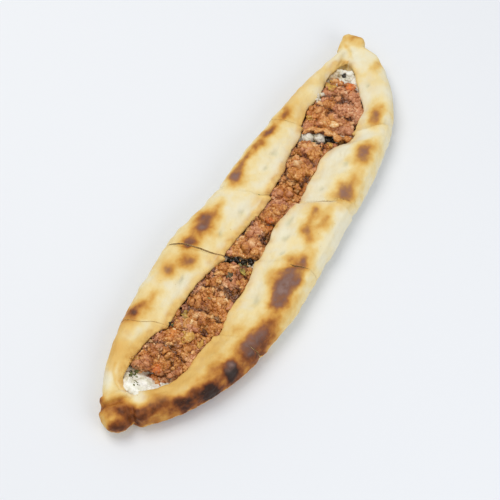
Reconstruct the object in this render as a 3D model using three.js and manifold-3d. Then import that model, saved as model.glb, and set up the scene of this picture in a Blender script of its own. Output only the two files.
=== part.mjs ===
// A boat-shaped pide, cut crosswise into five slices that keep the shape of the loaf.
// Each slice is a dough trough with rolled-in walls, a layer of white cheese and a heap of minced meat.
// Millimetres. X runs along the loaf from the near tip to the far tip, Y across it, Z up.
import * as THREE from "three";
import { mergeVertices } from "three/addons/utils/BufferGeometryUtils.js";
import Module from "manifold-3d";

const wasm = await Module();
wasm.setup();

// ---- driving dimensions ----

const tipLine = 21; // Y of the line through both tips; the loaf bows away from it
const loafStart = -186; // where the near knob takes over from the two walls
const loafEnd = 189; // and the far knob
const gap = 0.35; // air between neighbouring solids
const cutGap = 0.7; // width of a knife cut
const baseThickness = 4;
const cheeseSwell = 1.4; // how far bare cheese bulges between the walls
const lipThickness = 3;
const undercut = 3.5; // how far the filling reaches under a lip
const tipLift = 3; // the tips curl up this far off the surface
const liftRange = [150, 196]; // between these distances from the middle
const bowRange = [-60, 20]; // stretch of X where the outline passes from its near to its far shape
const closing = [163, 175]; // distances from the middle between which the walls come together
const stationStep = 6.4;
const besideCut = [1.2, 2.8]; // extra cross-sections at these distances from a cut

// The dough draws in beside a cut: how far from the cut, and by how much.
const tuckIn = { reach: 4.5, side: 0.8, ridge: 1.1, lip: 0.6 };

// Unevenness of the outer sides, as waves along X.
const wobbles = [
  { depth: 0.7, wave: 11, shift: 1 },
  { depth: 0.4, wave: 5.3, shift: -1 },
];

// A wall's outer side from its foot to the ridge: shares of the way in to the ridge and of its height.
const outerProfile = [[0, 0.37], [0.07, 0.62], [0.3, 0.86], [0.62, 0.97], [1, 1]];
// Its inner band from the ridge to the lip: shares of the way in and of the drop.
const innerProfile = [[0.4, 0.32], [0.75, 0.78]];
// The hollow under a lip: share of its height where it is deepest, and its depths as shares of the undercut.
const hollow = { deepest: 0.45, atFloor: 0.8, atLip: 0.26 };

// Outline of each side: how far it stands off the tip line, where it closes and how blunt it is.
const outline = {
  left: {
    reachNear: 37, reachFar: 28.5, closeNear: 195, closeFar: 201,
    bluntNear: 4, bluntFar: 2, powerNear: 0.72, powerFar: 0.92,
  },
  right: {
    reachNear: -79, reachFar: -77, closeNear: 199, closeFar: 200,
    bluntNear: 3, bluntFar: 3.8, powerNear: 0.7, powerFar: 0.67,
  },
};

// Knife cuts: place on the middle line and slant across the loaf.
const cuts = [
  { x: loafStart, slant: 0 },
  { x: -108, slant: -0.28 },
  { x: -38, slant: -0.35 },
  { x: 24, slant: -0.4 },
  { x: 100, slant: -0.41 },
  { x: loafEnd, slant: 0 },
];

// Slices from the near tip to the far tip. Lips are [x, y] along each wall's inner edge.
// Heights are at the slice's start, middle and end. Meat and cheese tops are given along X.
const slices = [
  {
    name: "1",
    left: {
      lip: [[-190, 16.6], [-172, 19.4], [-167, 25], [-160, 28], [-139, 28], [-121, 24], [-108, 19.5]],
      ridge: [15, 20, 21.5], lipHeight: [13.5, 16, 16],
    },
    right: {
      lip: [[-190, 14.6], [-172, 16.6], [-163, 5], [-152, -3], [-137, -9.5], [-120, -10], [-96, -16]],
      ridge: [16, 23.5, 24], lipHeight: [13.5, 16.5, 17],
    },
    meat: { from: -152, to: -109, crown: 1.6, lumps: 24, sink: [2.4, 1.2] },
    cheeseTop: [[-171, 11.5], [-158, 13.2], [-151, 8], [-100, 7.9]],
    shade: "browned",
  },
  {
    name: "2",
    left: {
      lip: [[-130, 19], [-98, 20], [-68, 18], [-52, 14.5], [-38, 12]],
      ridge: [21, 22.5, 22.5], lipHeight: [16, 16, 15.5],
    },
    right: {
      lip: [[-112, -15.5], [-93, -15], [-84, -13], [-54, -13], [-37, -10], [-20, -8.5]],
      ridge: [23, 24.5, 24.5], lipHeight: [16.5, 17, 16.5],
    },
    meat: { from: -107, to: -42, crown: 1.8, lumps: 32, sink: [0.8, 1.8] },
    cheeseTop: [[-130, 8], [-52, 7.9], [-44, 8], [-38, 10.5], [-20, 10.5]],
    shade: "pale",
  },
  {
    name: "3",
    left: {
      lip: [[-56, 11.5], [-40, 14], [-28, 13], [-7, 9.5], [13, 7], [30, 9]],
      ridge: [22, 22.5, 21.5], lipHeight: [16, 15.5, 17],
    },
    right: {
      lip: [[-42, -9], [-21, -11], [-7, -8], [5, -8], [19, -11], [40, -16]],
      ridge: [24, 25, 26], lipHeight: [16.5, 17, 17.5],
    },
    meat: { from: -33, to: 23, crown: 1.4, lumps: 22, sink: [3.2, 1.2] },
    cheeseTop: [[-50, 7.9], [40, 7.9]],
    shade: "pale",
  },
  {
    name: "4",
    left: {
      lip: [[10, 8], [34, 10], [52, 10.5], [63, 14], [82, 14], [98, 18]],
      ridge: [21, 22, 20.5], lipHeight: [15, 15.5, 15.5],
    },
    right: {
      lip: [[22, -14], [40, -12], [60, -11], [83, -11.5], [92, -18], [102, -23], [124, -26]],
      ridge: [21.5, 25, 23], lipHeight: [15.5, 17, 17],
    },
    meat: { from: 25, to: 91.5, crown: 1.4, lumps: 26, sink: [1.2, 2.2] },
    cheeseTop: [[10, 7.9], [84, 7.9], [94, 10.4], [110, 10.4]],
    shade: "pale",
  },
  {
    name: "5",
    left: {
      lip: [[90, 18], [107, 21], [116, 22], [126, 18.5], [149, 22], [165, 19.5], [174, 17.4], [192, 18.4]],
      ridge: [20.5, 20.5, 14], lipHeight: [15.5, 16, 13],
    },
    right: {
      lip: [[100, -23], [118, -19], [133, -18], [141, -12], [152, -3], [165, 7], [174, 15], [192, 16]],
      ridge: [22.5, 22.5, 14], lipHeight: [16.5, 16.5, 13],
    },
    meat: { from: 101, to: 150, crown: 1.8, lumps: 26, sink: [1.4, 2.4] },
    cheeseTop: [[90, 7.9], [147, 8], [153, 12.4], [166, 11.8]],
    shade: "pale",
  },
];

// Knobs of twisted dough at the tips: centre, half sizes, turn about Z and tilt about Y in degrees.
const knobs = {
  1: [
    { centre: [-188.5, 17.6, 10.4], half: [12.6, 13, 8.8], turn: -28, tilt: 5, square: 0.86 },
    { centre: [-180.5, 23, 14], half: [5.4, 11.5, 5.2], turn: 42, tilt: 0, square: 0.9 },
  ],
  5: [
    { centre: [187.6, 21.2, 11], half: [12, 10.4, 7.8], turn: 4, tilt: -6, square: 0.7 },
    { centre: [176, 17, 12], half: [8, 9, 5.4], turn: 30, tilt: 0, square: 0.9 },
  ],
};

// Vegetable pieces on the meat: [name, slice, x, y, length, width, height, turn, colour name].
const garnishes = [
  ["tomato_far", 4, 148, 1.5, 6.4, 5.4, 3, 20, "tomato"],
  ["pepper_far", 4, 139, 16, 7, 3.6, 2.4, 75, "greenPepper"],
  ["olive_cut", 3, 84, -3, 5.4, 5, 3.4, 0, "olive"],
  ["tomato_mid", 2, 3, -3, 6, 4.4, 2.6, -30, "tomato"],
  ["pepper_mid", 1, -47, -6, 7, 3.4, 2.4, 60, "greenPepper"],
  ["herb_mid", 1, -55, 0, 6, 4.4, 2, 15, "herb"],
  ["tomato_heel", 0, -117, 14, 6.6, 4.6, 2.6, 10, "tomato"],
  ["onion_heel", 0, -114.5, 1.5, 7.4, 5, 3, -15, "onion"],
  ["pepper_heel", 1, -99, 14, 6, 4, 2.4, 40, "greenPepper"],
  ["tomato_near", 0, -146, 9, 6.4, 5, 2.8, -20, "tomato"],
];

const lumpSize = [2.6, 5]; // smallest and largest radius of a crumb of mince
const lumpFlatness = 0.72;
const lumpsPerRow = 2.6; // how many times longer than wide a patch of crumbs is
const belowLip = 1.7; // the meat's edge lies this far under the lips
const endSlope = 7; // length over which a heap of meat falls away at its ends
const bareCheese = [8.2, 11]; // between these heights the cheese comes out from under the meat
const acrossPoints = 7; // points across the top of the meat
const knobGrid = [12, 8]; // sides and rows of a knob
const garnishGrid = [7, 5];
const seed = 41;

// Unevenness of the meat: waves along X that lean across the loaf.
const meatWaves = [
  { depth: 0.55, wave: 2.9, lean: 7 },
  { depth: 0.45, wave: 1.7, lean: -11 },
];

const finishes = {
  pale: { color: 0xe9d8a8, roughness: 0.78 },
  browned: { color: 0xd9b679, roughness: 0.75 },
  cheese: { color: 0xefeadb, roughness: 0.55 },
  meat: { color: 0xb0683f, roughness: 0.5 },
  tomato: { color: 0xc4501e, roughness: 0.35 },
  greenPepper: { color: 0x8c8a3a, roughness: 0.4 },
  onion: { color: 0xcf9b3c, roughness: 0.4 },
  olive: { color: 0x2e2620, roughness: 0.35 },
  herb: { color: 0x5b6236, roughness: 0.6 },
};

// ---- helpers ----

const { lerp, clamp, smoothstep, degToRad } = THREE.MathUtils;

function randomFrom(start) {
  let state = start;
  return () => {
    state = (state + 0x6d2b79f5) | 0;
    let t = Math.imul(state ^ (state >>> 15), 1 | state);
    t = (t + Math.imul(t ^ (t >>> 7), 61 | t)) ^ t;
    return ((t ^ (t >>> 14)) >>> 0) / 4294967296;
  };
}

// A smooth curve y(x) through a short list of [x, y] points, level past both ends.
function through(points) {
  const slopeAt = (i) => {
    const a = points[Math.max(i - 1, 0)];
    const b = points[Math.min(i + 1, points.length - 1)];
    return (b[1] - a[1]) / (b[0] - a[0]);
  };
  return (x) => {
    const inside = clamp(x, points[0][0], points.at(-1)[0]);
    let i = 0;
    while (i < points.length - 2 && inside > points[i + 1][0]) i += 1;
    const [x0, y0] = points[i];
    const [x1, y1] = points[i + 1];
    const t = (inside - x0) / (x1 - x0);
    const s = smoothstep(t, 0, 1);
    const fromLeft = y0 + slopeAt(i) * (inside - x0);
    const fromRight = y1 + slopeAt(i + 1) * (inside - x1);
    return lerp(fromLeft, fromRight, s);
  };
}

// A value that passes through three heights at the start, middle and end of a slice.
const overSlice = ([a, b, c], s) => a * (1 - s) * (1 - 2 * s) + 4 * b * s * (1 - s) + c * s * (2 * s - 1);

function closedGeometry(positions, indices) {
  const geometry = new THREE.BufferGeometry();
  geometry.setAttribute("position", new THREE.Float32BufferAttribute(positions, 3));
  geometry.setIndex(indices);
  return geometry;
}

// Skins a row of closed sections, which all have as many points, and caps both ends.
function loft(sections) {
  const sides = sections[0].length;
  const positions = sections.flat().flatMap((p) => [p.x, p.y, p.z]);
  const indices = [];
  for (let row = 0; row < sections.length - 1; row += 1) {
    for (let i = 0; i < sides; i += 1) {
      const a = row * sides + i;
      const b = row * sides + ((i + 1) % sides);
      indices.push(a, b, a + sides, b, b + sides, a + sides);
    }
  }
  const outlineOf = (row) => sections[row].map((p) => new THREE.Vector2(p.y, p.z));
  const clockwise = THREE.ShapeUtils.isClockWise(outlineOf(0));
  for (const row of [0, sections.length - 1]) {
    const first = row * sides;
    const forwards = (row === 0) === clockwise; // the triangles come out facing +X
    for (const [a, b, c] of THREE.ShapeUtils.triangulateShape(outlineOf(row), [])) {
      if (forwards) indices.push(first + a, first + b, first + c);
      else indices.push(first + a, first + c, first + b);
    }
  }
  return closedGeometry(positions, indices);
}

function toSolid(geometry) {
  const bare = geometry.clone();
  bare.deleteAttribute("normal");
  bare.deleteAttribute("uv");
  const merged = mergeVertices(bare, 1e-4);
  const vertProperties = new Float32Array(merged.attributes.position.array);
  const triVerts = new Uint32Array(merged.index.array);
  const solid = new wasm.Manifold(new wasm.Mesh({ numProp: 3, vertProperties, triVerts }));
  if (solid.volume() > 0) return solid;
  for (let i = 0; i < triVerts.length; i += 3) {
    [triVerts[i + 1], triVerts[i + 2]] = [triVerts[i + 2], triVerts[i + 1]];
  }
  return new wasm.Manifold(new wasm.Mesh({ numProp: 3, vertProperties, triVerts }));
}

function toGeometry(solid) {
  const { vertProperties, triVerts } = solid.getMesh();
  return closedGeometry(vertProperties, Array.from(triVerts));
}

function mesh(name, solid, finish) {
  const material = new THREE.MeshStandardMaterial({ ...finishes[finish], metalness: 0 });
  const made = new THREE.Mesh(toGeometry(solid), material);
  made.name = name;
  return made;
}

// A rounded lump: a sphere pressed to its half sizes, squarer where `square` is under 1.
function lump({ centre, half, turn, tilt, square }, grid) {
  const geometry = new THREE.SphereGeometry(1, ...grid);
  const position = geometry.attributes.position;
  const swell = (v) => Math.sign(v) * Math.abs(v) ** square;
  for (let i = 0; i < position.count; i += 1) {
    position.setXYZ(
      i,
      half[0] * swell(position.getX(i)),
      half[1] * swell(position.getZ(i)),
      half[2] * swell(position.getY(i)),
    );
  }
  geometry.rotateY(degToRad(tilt));
  geometry.rotateZ(degToRad(turn));
  geometry.translate(...centre);
  return toSolid(geometry);
}

// ---- the loaf's shape ----

// Y of the outer side at x.
function edgeAt(side, x) {
  const o = outline[side];
  const near = x < 0;
  const along = Math.min(Math.abs(x) / (near ? o.closeNear : o.closeFar), 1);
  const blunt = near ? o.bluntNear : o.bluntFar;
  const power = near ? o.powerNear : o.powerFar;
  const reach = lerp(o.reachNear, o.reachFar, smoothstep(x, ...bowRange));
  const uneven = wobbles.reduce((sum, { depth, wave, shift }) => {
    return sum + depth * Math.sin(x / wave + shift * reach);
  }, 0);
  return tipLine + reach * (1 - along ** blunt) ** power + uneven * (1 - along);
}

const cutAt = (cut, y) => cut.x + cut.slant * y;

const liftAt = (x) => tipLift * smoothstep(Math.abs(x), ...liftRange);

// Everything about one cross-section of a slice, s being 0 at its start and 1 at its end.
function stationOf(slice, index, s) {
  const start = cuts[index];
  const end = cuts[index + 1];
  const startGap = index === 0 ? 0 : cutGap / 2;
  const endGap = index === slices.length - 1 ? 0 : cutGap / 2;
  const xAt = (y) => lerp(cutAt(start, y) + startGap, cutAt(end, y) - endGap, s);
  const length = end.x - start.x;
  const fromCut = Math.min(
    index === 0 ? length : s * length,
    index === slices.length - 1 ? length : (1 - s) * length,
  );
  const tuck = 1 - smoothstep(fromCut, 0, tuckIn.reach);
  const settle = (yOf, guess) => {
    let y = guess;
    for (let pass = 0; pass < 4; pass += 1) y = yOf(xAt(y));
    return y;
  };
  const middleX = xAt(0);
  const shut = smoothstep(Math.abs(middleX), ...closing); // 1 where the walls meet
  const lift = liftAt(middleX);
  const side = (key) => {
    const sign = key === "left" ? 1 : -1;
    const lipY = settle(through(slice[key].lip), 0);
    const edgeY = settle((x) => edgeAt(key, x), lipY + 20 * sign) - sign * tuckIn.side * tuck;
    const ridge = overSlice(slice[key].ridge, s) - tuckIn.ridge * tuck;
    const lip = overSlice(slice[key].lipHeight, s) - tuckIn.lip * tuck;
    const floor = lerp(baseThickness, lip - 2, shut);
    const depth = lip - floor;
    const under = lip - Math.min(lipThickness, 0.6 * depth);
    const reachUnder = Math.min(undercut, 0.25 * depth);
    return { sign, lipY, edgeY, ridge, lip, floor, depth, under, reachUnder };
  };
  return { xAt, middleX, lift, left: side("left"), right: side("right") };
}

// Inner side of a wall below its lip: how far it stands outwards of the lip at height z.
function hollowAt(wall, z) {
  const middle = lerp(wall.floor, wall.under, hollow.deepest);
  if (z < middle) {
    return wall.reachUnder * lerp(hollow.atFloor, 1, (z - wall.floor) / (middle - wall.floor));
  }
  const t = clamp((z - middle) / (wall.under - middle), 0, 1);
  return wall.reachUnder * lerp(1, hollow.atLip, t);
}

// Half of the trough's section, from its foot over the ridge and the lip to the floor, as [y, z].
function wallSection(wall) {
  const { sign, lipY, edgeY, ridge, lip, floor, under } = wall;
  const width = Math.abs(edgeY - lipY);
  const rise = clamp(0.34 * width + 1.5, 4, 15); // distance from the outer side to the ridge
  const foot = clamp(0.2 * width, 1.5, 7);
  const drop = ridge - lip;
  const inwards = (d) => edgeY - sign * d;
  const outwards = (d) => lipY + sign * d;
  const middle = lerp(floor, under, hollow.deepest);
  return [
    [inwards(foot), 0],
    ...outerProfile.map(([along, up]) => [inwards(along * rise), up * ridge]),
    ...innerProfile.map(([along, down]) => [inwards(lerp(rise, width, along)), ridge - down * drop]),
    [outwards(Math.min(1.6, 0.1 * width)), lip],
    [outwards(0), lip - Math.min(1.2, 0.25 * wall.depth)],
    [outwards(hollowAt(wall, under)), under],
    [outwards(hollowAt(wall, middle)), middle],
    [outwards(hollowAt(wall, floor)), floor],
  ];
}

const place = (station, [y, z]) => new THREE.Vector3(station.xAt(y), y, z + station.lift);

// Shares of a slice's length that carry a cross-section, closer together beside a cut.
function sharesOf(index) {
  const length = cuts[index + 1].x - cuts[index].x;
  const steps = Math.round(length / stationStep);
  const inner = Array.from({ length: steps - 1 }, (_, i) => (i + 1) / steps);
  const near = besideCut.map((d) => d / length);
  const far = near.map((share) => 1 - share).reverse();
  return [0, ...near, ...inner, ...far, 1];
}

const shareAt = (index, x) => (x - cuts[index].x) / (cuts[index + 1].x - cuts[index].x);

// The cross-sections between two places on the middle line, which a filling shares with its dough.
function stationsBetween(slice, index, from, to) {
  const shares = sharesOf(index).filter((s) => s >= shareAt(index, from) && s <= shareAt(index, to));
  return shares.map((s) => stationOf(slice, index, s));
}

function doughSolid(slice, index) {
  const sections = sharesOf(index).map((s) => {
    const station = stationOf(slice, index, s);
    const left = wallSection(station.left);
    const right = wallSection(station.right);
    return [...left, ...right.reverse()].map((point) => place(station, point));
  });
  const knobsHere = (knobs[slice.name] ?? []).map((knob) => lump(knob, knobGrid));
  return knobsHere.reduce((dough, knob) => dough.add(knob), toSolid(loft(sections)));
}

// ---- the filling ----

// A point of the filling that reaches out to the hollow wall at height z.
const besideWall = (wall, z) => [wall.lipY + wall.sign * (hollowAt(wall, z) - gap), z];

// Heights of the cheese at a cross-section: along each wall, and how far its middle swells over that.
function cheeseHeights(slice, station) {
  const wanted = through(slice.cheeseTop)(station.middleX);
  const edgeOf = (wall) => clamp(wanted, wall.floor + gap + 1.2, wall.under - gap);
  const swell = smoothstep(wanted, ...bareCheese) * cheeseSwell;
  return { left: edgeOf(station.left), right: edgeOf(station.right), swell };
}

function cheeseSolid(slice, index) {
  const from = Math.max(cuts[index].x + 1, slice.cheeseTop[0][0]);
  const to = Math.min(cuts[index + 1].x - 1, slice.cheeseTop.at(-1)[0]);
  const sections = stationsBetween(slice, index, from, to).map((station) => {
    const heights = cheeseHeights(slice, station);
    const side = (wall, top) => {
      const low = wall.floor + gap;
      return [low, lerp(low, top, 0.5), top].map((z) => besideWall(wall, z));
    };
    const left = side(station.left, heights.left);
    const right = side(station.right, heights.right);
    const crown = [0.75, 0.5, 0.25].map((t) => {
      const wave = 0.7 + 0.3 * Math.sin(station.middleX / 2 + 5 * t);
      return [lerp(right[2][0], left[2][0], t), lerp(heights.right, heights.left, t) + heights.swell * wave];
    });
    return [...left, ...crown, ...right.reverse()].map((point) => place(station, point));
  });
  return toSolid(loft(sections));
}

// Height of the meat's bare top, t running from 0 at the right lip to 1 at the left one.
function meatTop(slice, index, station, t) {
  const { from, to, crown, sink } = slice.meat;
  const x = station.middleX;
  const edge = lerp(station.right.lip, station.left.lip, t) - belowLip;
  const nearDrop = sink[0] * (1 - smoothstep(x, from, from + endSlope));
  const farDrop = sink[1] * smoothstep(x, to - endSlope, to);
  const bumps = meatWaves.reduce((sum, { depth, wave, lean }) => {
    return sum + depth * Math.sin(x / wave + lean * t + index);
  }, 0);
  const arch = Math.sin(Math.PI * clamp(t, 0, 1));
  return edge + arch * (crown + bumps) - nearDrop - farDrop;
}

function meatCore(slice, index) {
  const sections = stationsBetween(slice, index, slice.meat.from, slice.meat.to).map((station) => {
    const heights = cheeseHeights(slice, station);
    const low = Math.max(heights.left, heights.right) + heights.swell + gap;
    const side = (wall) => [low, Math.max(wall.under - gap - 0.1, low + 0.6)].map((z) => besideWall(wall, z));
    const left = side(station.left);
    const right = side(station.right);
    const top = Array.from({ length: acrossPoints }, (_, n) => {
      const t = 1 - n / (acrossPoints - 1);
      const y = lerp(station.right.lipY + gap + 0.15, station.left.lipY - gap - 0.15, t);
      return [y, Math.max(meatTop(slice, index, station, t), left[1][1] + 0.5)];
    });
    return [...left, ...top, ...right.reverse()].map((point) => place(station, point));
  });
  return toSolid(loft(sections));
}

// Crumbs of mince in jittered rows over the heap, kept inside the lips and off the vegetables.
function crumbs(slice, index, random) {
  const { from, to, lumps } = slice.meat;
  const rows = Math.max(2, Math.round(Math.sqrt(lumps / lumpsPerRow)));
  const columns = Math.ceil(lumps / rows);
  const made = [];
  for (let n = 0; n < rows * columns; n += 1) {
    const radius = lerp(...lumpSize, random() ** 1.5);
    const x = lerp(from + radius, to - radius, ((n % columns) + 0.2 + 0.6 * random()) / columns);
    const station = stationOf(slice, index, shareAt(index, x));
    const low = station.right.lipY + radius + gap + 0.4;
    const high = station.left.lipY - radius - gap - 0.4;
    const t = (Math.floor(n / columns) + 0.15 + 0.7 * random()) / rows;
    const y = lerp(low, high, t);
    const across = (y - station.right.lipY) / (station.left.lipY - station.right.lipY);
    const geometry = new THREE.IcosahedronGeometry(1, 0);
    const stretch = [1, 0.75 + 0.25 * random(), lumpFlatness + 0.15 * random()];
    geometry.scale(...stretch.map((v) => v * radius));
    geometry.rotateX(0.5 * (random() - 0.5));
    geometry.rotateZ(Math.PI * random());
    const z = meatTop(slice, index, station, across) + station.lift + 0.1 * radius;
    const crossesGarnish = garnishes.some(([, owner, gx, gy, length]) => {
      return owner === index && Math.hypot(station.xAt(y) - gx, y - gy) < radius + 0.55 * length + 0.4;
    });
    if (high > low && !crossesGarnish) {
      geometry.translate(station.xAt(y), y, z);
      made.push(toSolid(geometry));
    }
  }
  return made;
}

// The outer shell alone, which fills any hollow that the crumbs have sealed.
function outerShell(solid) {
  return solid.decompose().reduce((largest, part) => (part.volume() > largest.volume() ? part : largest));
}

function meatSolid(slice, index, random) {
  const heap = crumbs(slice, index, random).reduce((sum, crumb) => sum.add(crumb), meatCore(slice, index));
  return outerShell(heap);
}

// A rounded piece of vegetable that lies just on the bare meat.
function garnishMesh([name, index, x, y, length, width, height, turn, finish]) {
  const slice = slices[index];
  const reach = 0.5 * length;
  let floor = 0;
  for (const dx of [-reach, 0, reach]) {
    for (const dy of [-reach, 0, reach]) {
      const slanted = x + dx - cuts[index].slant * (y + dy);
      const station = stationOf(slice, index, shareAt(index, slanted));
      const across = (y + dy - station.right.lipY) / (station.left.lipY - station.right.lipY);
      floor = Math.max(floor, meatTop(slice, index, station, across) + station.lift);
    }
  }
  const half = [length / 2, width / 2, height / 2];
  const centre = [x, y, floor + gap + 0.2 + height / 2];
  return mesh(name, lump({ centre, half, turn, tilt: 0, square: 0.8 }, garnishGrid), finish);
}

// ---- assembly ----

const pide = new THREE.Group();
const loaf = new THREE.Group();
pide.add(loaf);
const random = randomFrom(seed);
slices.forEach((slice, index) => {
  loaf.add(mesh(`dough_${slice.name}`, doughSolid(slice, index), slice.shade));
  loaf.add(mesh(`cheese_${slice.name}`, cheeseSolid(slice, index), "cheese"));
  loaf.add(mesh(`meat_${slice.name}`, meatSolid(slice, index, random), "meat"));
});
garnishes.forEach((garnish) => loaf.add(garnishMesh(garnish)));

// The origin is the middle of the loaf's footprint.
const box = new THREE.Box3().setFromObject(loaf);
loaf.position.set(-(box.min.x + box.max.x) / 2, -(box.min.y + box.max.y) / 2, -box.min.z);

export default pide;
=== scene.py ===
import math
import random

import bmesh
import bpy
import numpy as np
from mathutils import Matrix, Vector, noise
from mathutils.bvhtree import BVHTree


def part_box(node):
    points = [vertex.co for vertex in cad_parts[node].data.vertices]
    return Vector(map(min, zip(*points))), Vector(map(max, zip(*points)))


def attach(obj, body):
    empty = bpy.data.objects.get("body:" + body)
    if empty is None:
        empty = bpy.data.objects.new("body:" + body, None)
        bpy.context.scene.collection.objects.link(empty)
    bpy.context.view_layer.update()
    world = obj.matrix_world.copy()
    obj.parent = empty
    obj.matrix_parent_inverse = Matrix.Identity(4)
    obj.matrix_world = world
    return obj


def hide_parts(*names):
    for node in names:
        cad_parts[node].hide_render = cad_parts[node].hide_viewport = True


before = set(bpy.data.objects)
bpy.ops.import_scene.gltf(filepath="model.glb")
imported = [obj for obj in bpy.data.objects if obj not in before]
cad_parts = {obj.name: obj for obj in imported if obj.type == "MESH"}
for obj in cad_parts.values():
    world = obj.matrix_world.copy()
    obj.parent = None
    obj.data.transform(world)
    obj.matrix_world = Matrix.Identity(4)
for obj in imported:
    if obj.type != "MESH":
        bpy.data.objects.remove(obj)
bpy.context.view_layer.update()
mm = 0.001
scene = bpy.context.scene
scene.view_settings.view_transform = "Standard"

# places below are x, y in millimetres: x runs to the far tip, y to the straighter wall

# camera, floor and light

cameraSetup = {
    "aim": (-18.11, 2.95, 0.0),
    "azimuth": -60.96,  # degrees round from looking along +Y
    "elevation": 60.0,
    "distance": 968.75,
    "lens": 90.0,
}

lightSetup = {
    "sky": 0.62,
    "skyColour": "f4f7fc",
    "lamps": {
        # name: (place in mm, size in mm, watts, colour)
        "overhead": ((80, 650, 1500), 1100, 13.0, "fffaf0"),
        "side": ((-300, -1100, 700), 900, 5.0, "fbfaf8"),
    },
}

floorSetup = {
    "reach": 12.0,  # in metres
    "colour": "e6e9ee",
    "roughness": 0.9,
}


def colour(code):  # an sRGB code as the linear colour that a socket takes
    channels = [int(code[i:i + 2], 16) / 255 for i in (0, 2, 4)]
    linear = [c / 12.92 if c <= 0.04045 else ((c + 0.055) / 1.055) ** 2.4 for c in channels]
    return (*linear, 1.0)


def makeCamera(setup):
    azimuth = math.radians(setup["azimuth"])
    elevation = math.radians(setup["elevation"])
    away = Vector((
        math.sin(azimuth) * math.cos(elevation),
        -math.cos(azimuth) * math.cos(elevation),
        math.sin(elevation),
    ))
    data = bpy.data.cameras.new("studioCamera")
    data.lens = setup["lens"]
    data.sensor_width = 36.0
    camera = bpy.data.objects.new("studioCamera", data)
    camera.location = Vector(setup["aim"]) * mm + away * setup["distance"] * mm
    camera.rotation_euler = away.to_track_quat("Z", "Y").to_euler()
    scene.collection.objects.link(camera)
    scene.camera = camera


def makeLights(setup):
    for name, (place, size, watts, tint) in setup["lamps"].items():
        data = bpy.data.lights.new(name, "AREA")
        data.shape = "DISK"
        data.size = size * mm
        data.energy = watts
        data.color = colour(tint)[:3]
        lamp = bpy.data.objects.new(name, data)
        lamp.location = Vector(place) * mm
        lamp.rotation_euler = lamp.location.to_track_quat("Z", "Y").to_euler()
        scene.collection.objects.link(lamp)
    world = bpy.data.worlds.new("softSky")
    world.use_nodes = True
    sky = world.node_tree.nodes["Background"]
    sky.inputs["Color"].default_value = colour(setup["skyColour"])
    sky.inputs["Strength"].default_value = setup["sky"]
    scene.world = world


# mesh helpers


def objectOf(name, mesh):
    piece = bpy.data.objects.new(name, mesh)
    scene.collection.objects.link(piece)
    return piece


def objectFrom(name, bm):
    mesh = bpy.data.meshes.new(name)
    bm.to_mesh(mesh)
    bm.free()
    return objectOf(name, mesh)


def discard(piece):
    mesh = piece.data
    bpy.data.objects.remove(piece)
    bpy.data.meshes.remove(mesh)


def copyOfNode(node, name):  # the node's triangles are loose, so they are merged
    bm = bmesh.new()
    bm.from_mesh(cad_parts[node].data)
    bmesh.ops.remove_doubles(bm, verts=bm.verts, dist=0.01 * mm)
    return objectFrom(name, bm)


def applyModifiers(piece):
    bpy.context.view_layer.update()
    graph = bpy.context.evaluated_depsgraph_get()
    done = bpy.data.meshes.new_from_object(piece.evaluated_get(graph))
    done.name = piece.name
    old = piece.data
    piece.modifiers.clear()
    piece.data = done
    bpy.data.meshes.remove(old)


def remesh(piece, voxel, smoothing):
    skin = piece.modifiers.new("skin", "REMESH")
    skin.mode = "VOXEL"
    skin.voxel_size = voxel * mm
    soft = piece.modifiers.new("soft", "SMOOTH")
    soft.factor = 0.5
    soft.iterations = smoothing
    applyModifiers(piece)


def placesOf(mesh):  # vertex places in mm
    places = np.empty(len(mesh.vertices) * 3)
    mesh.vertices.foreach_get("co", places)
    return places.reshape(-1, 3) / mm


def setPlaces(mesh, places):
    mesh.vertices.foreach_set("co", (places * mm).astype(np.float32).ravel())
    mesh.update()


def normalsOf(mesh):
    normals = np.empty(len(mesh.vertices) * 3)
    mesh.vertices.foreach_get("normal", normals)
    return normals.reshape(-1, 3)


def edgesOf(mesh):
    edges = np.empty(len(mesh.edges) * 2, int)
    mesh.edges.foreach_get("vertices", edges)
    return edges.reshape(-1, 2)


def storeValues(mesh, **named):
    for name, values in named.items():
        attribute = mesh.attributes.new(name, "FLOAT", "POINT")
        attribute.data.foreach_set("value", values.astype(np.float32))


def smoothStep(low, high, values):
    share = np.clip((values - low) / (high - low), 0, 1)
    return share * share * (3 - 2 * share)


def uneven(places, size, seed, waves=26):  # soft unevenness from about -1 to 1, bumps about `size` mm apart
    draw = np.random.default_rng(seed)
    ways = draw.normal(size=(waves, 3))
    ways *= (math.tau / size / draw.uniform(0.7, 1.9, waves) / np.linalg.norm(ways, axis=1))[:, None]
    phases = draw.uniform(0, math.tau, waves)
    return np.cos(places @ ways.T + phases).sum(1) * math.sqrt(0.6 / waves)


def lumpsAt(places, size, seed):  # rounded lumps `size` mm apart: how high on its lump, and a tone for each
    draws = np.random.default_rng(seed).random((4096, 4))
    scaled = places / size + 0.3 * np.stack([uneven(places, 0.9 * size, seed + k, 12) for k in range(3)], 1)
    home = np.floor(scaled).astype(int)
    nearest, tone = np.full(len(places), 9.0), np.zeros(len(places))
    for step in np.ndindex(3, 3, 3):
        cell = home + step - 1
        given = draws[cell @ (73, 1571, 911) % len(draws)]
        off = np.linalg.norm(cell + given[:, :3] - scaled, axis=1)
        tone = np.where(off < nearest, given[:, 3], tone)
        nearest = np.minimum(nearest, off)
    return np.clip(1 - nearest * nearest * 1.3, 0, 1), tone


def relaxed(values, edges, passes):  # each vertex takes the mean of its neighbours, over and over
    count = len(values)
    valence = np.bincount(edges.ravel(), minlength=count).astype(float)
    for _ in range(passes):
        columns = [
            np.bincount(edges[:, 0], values[edges[:, 1], k], count)
            + np.bincount(edges[:, 1], values[edges[:, 0], k], count)
            for k in range(values.shape[1])
        ]
        values = 0.5 * values + 0.5 * np.stack(columns, 1) / valence[:, None]
    return values


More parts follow.
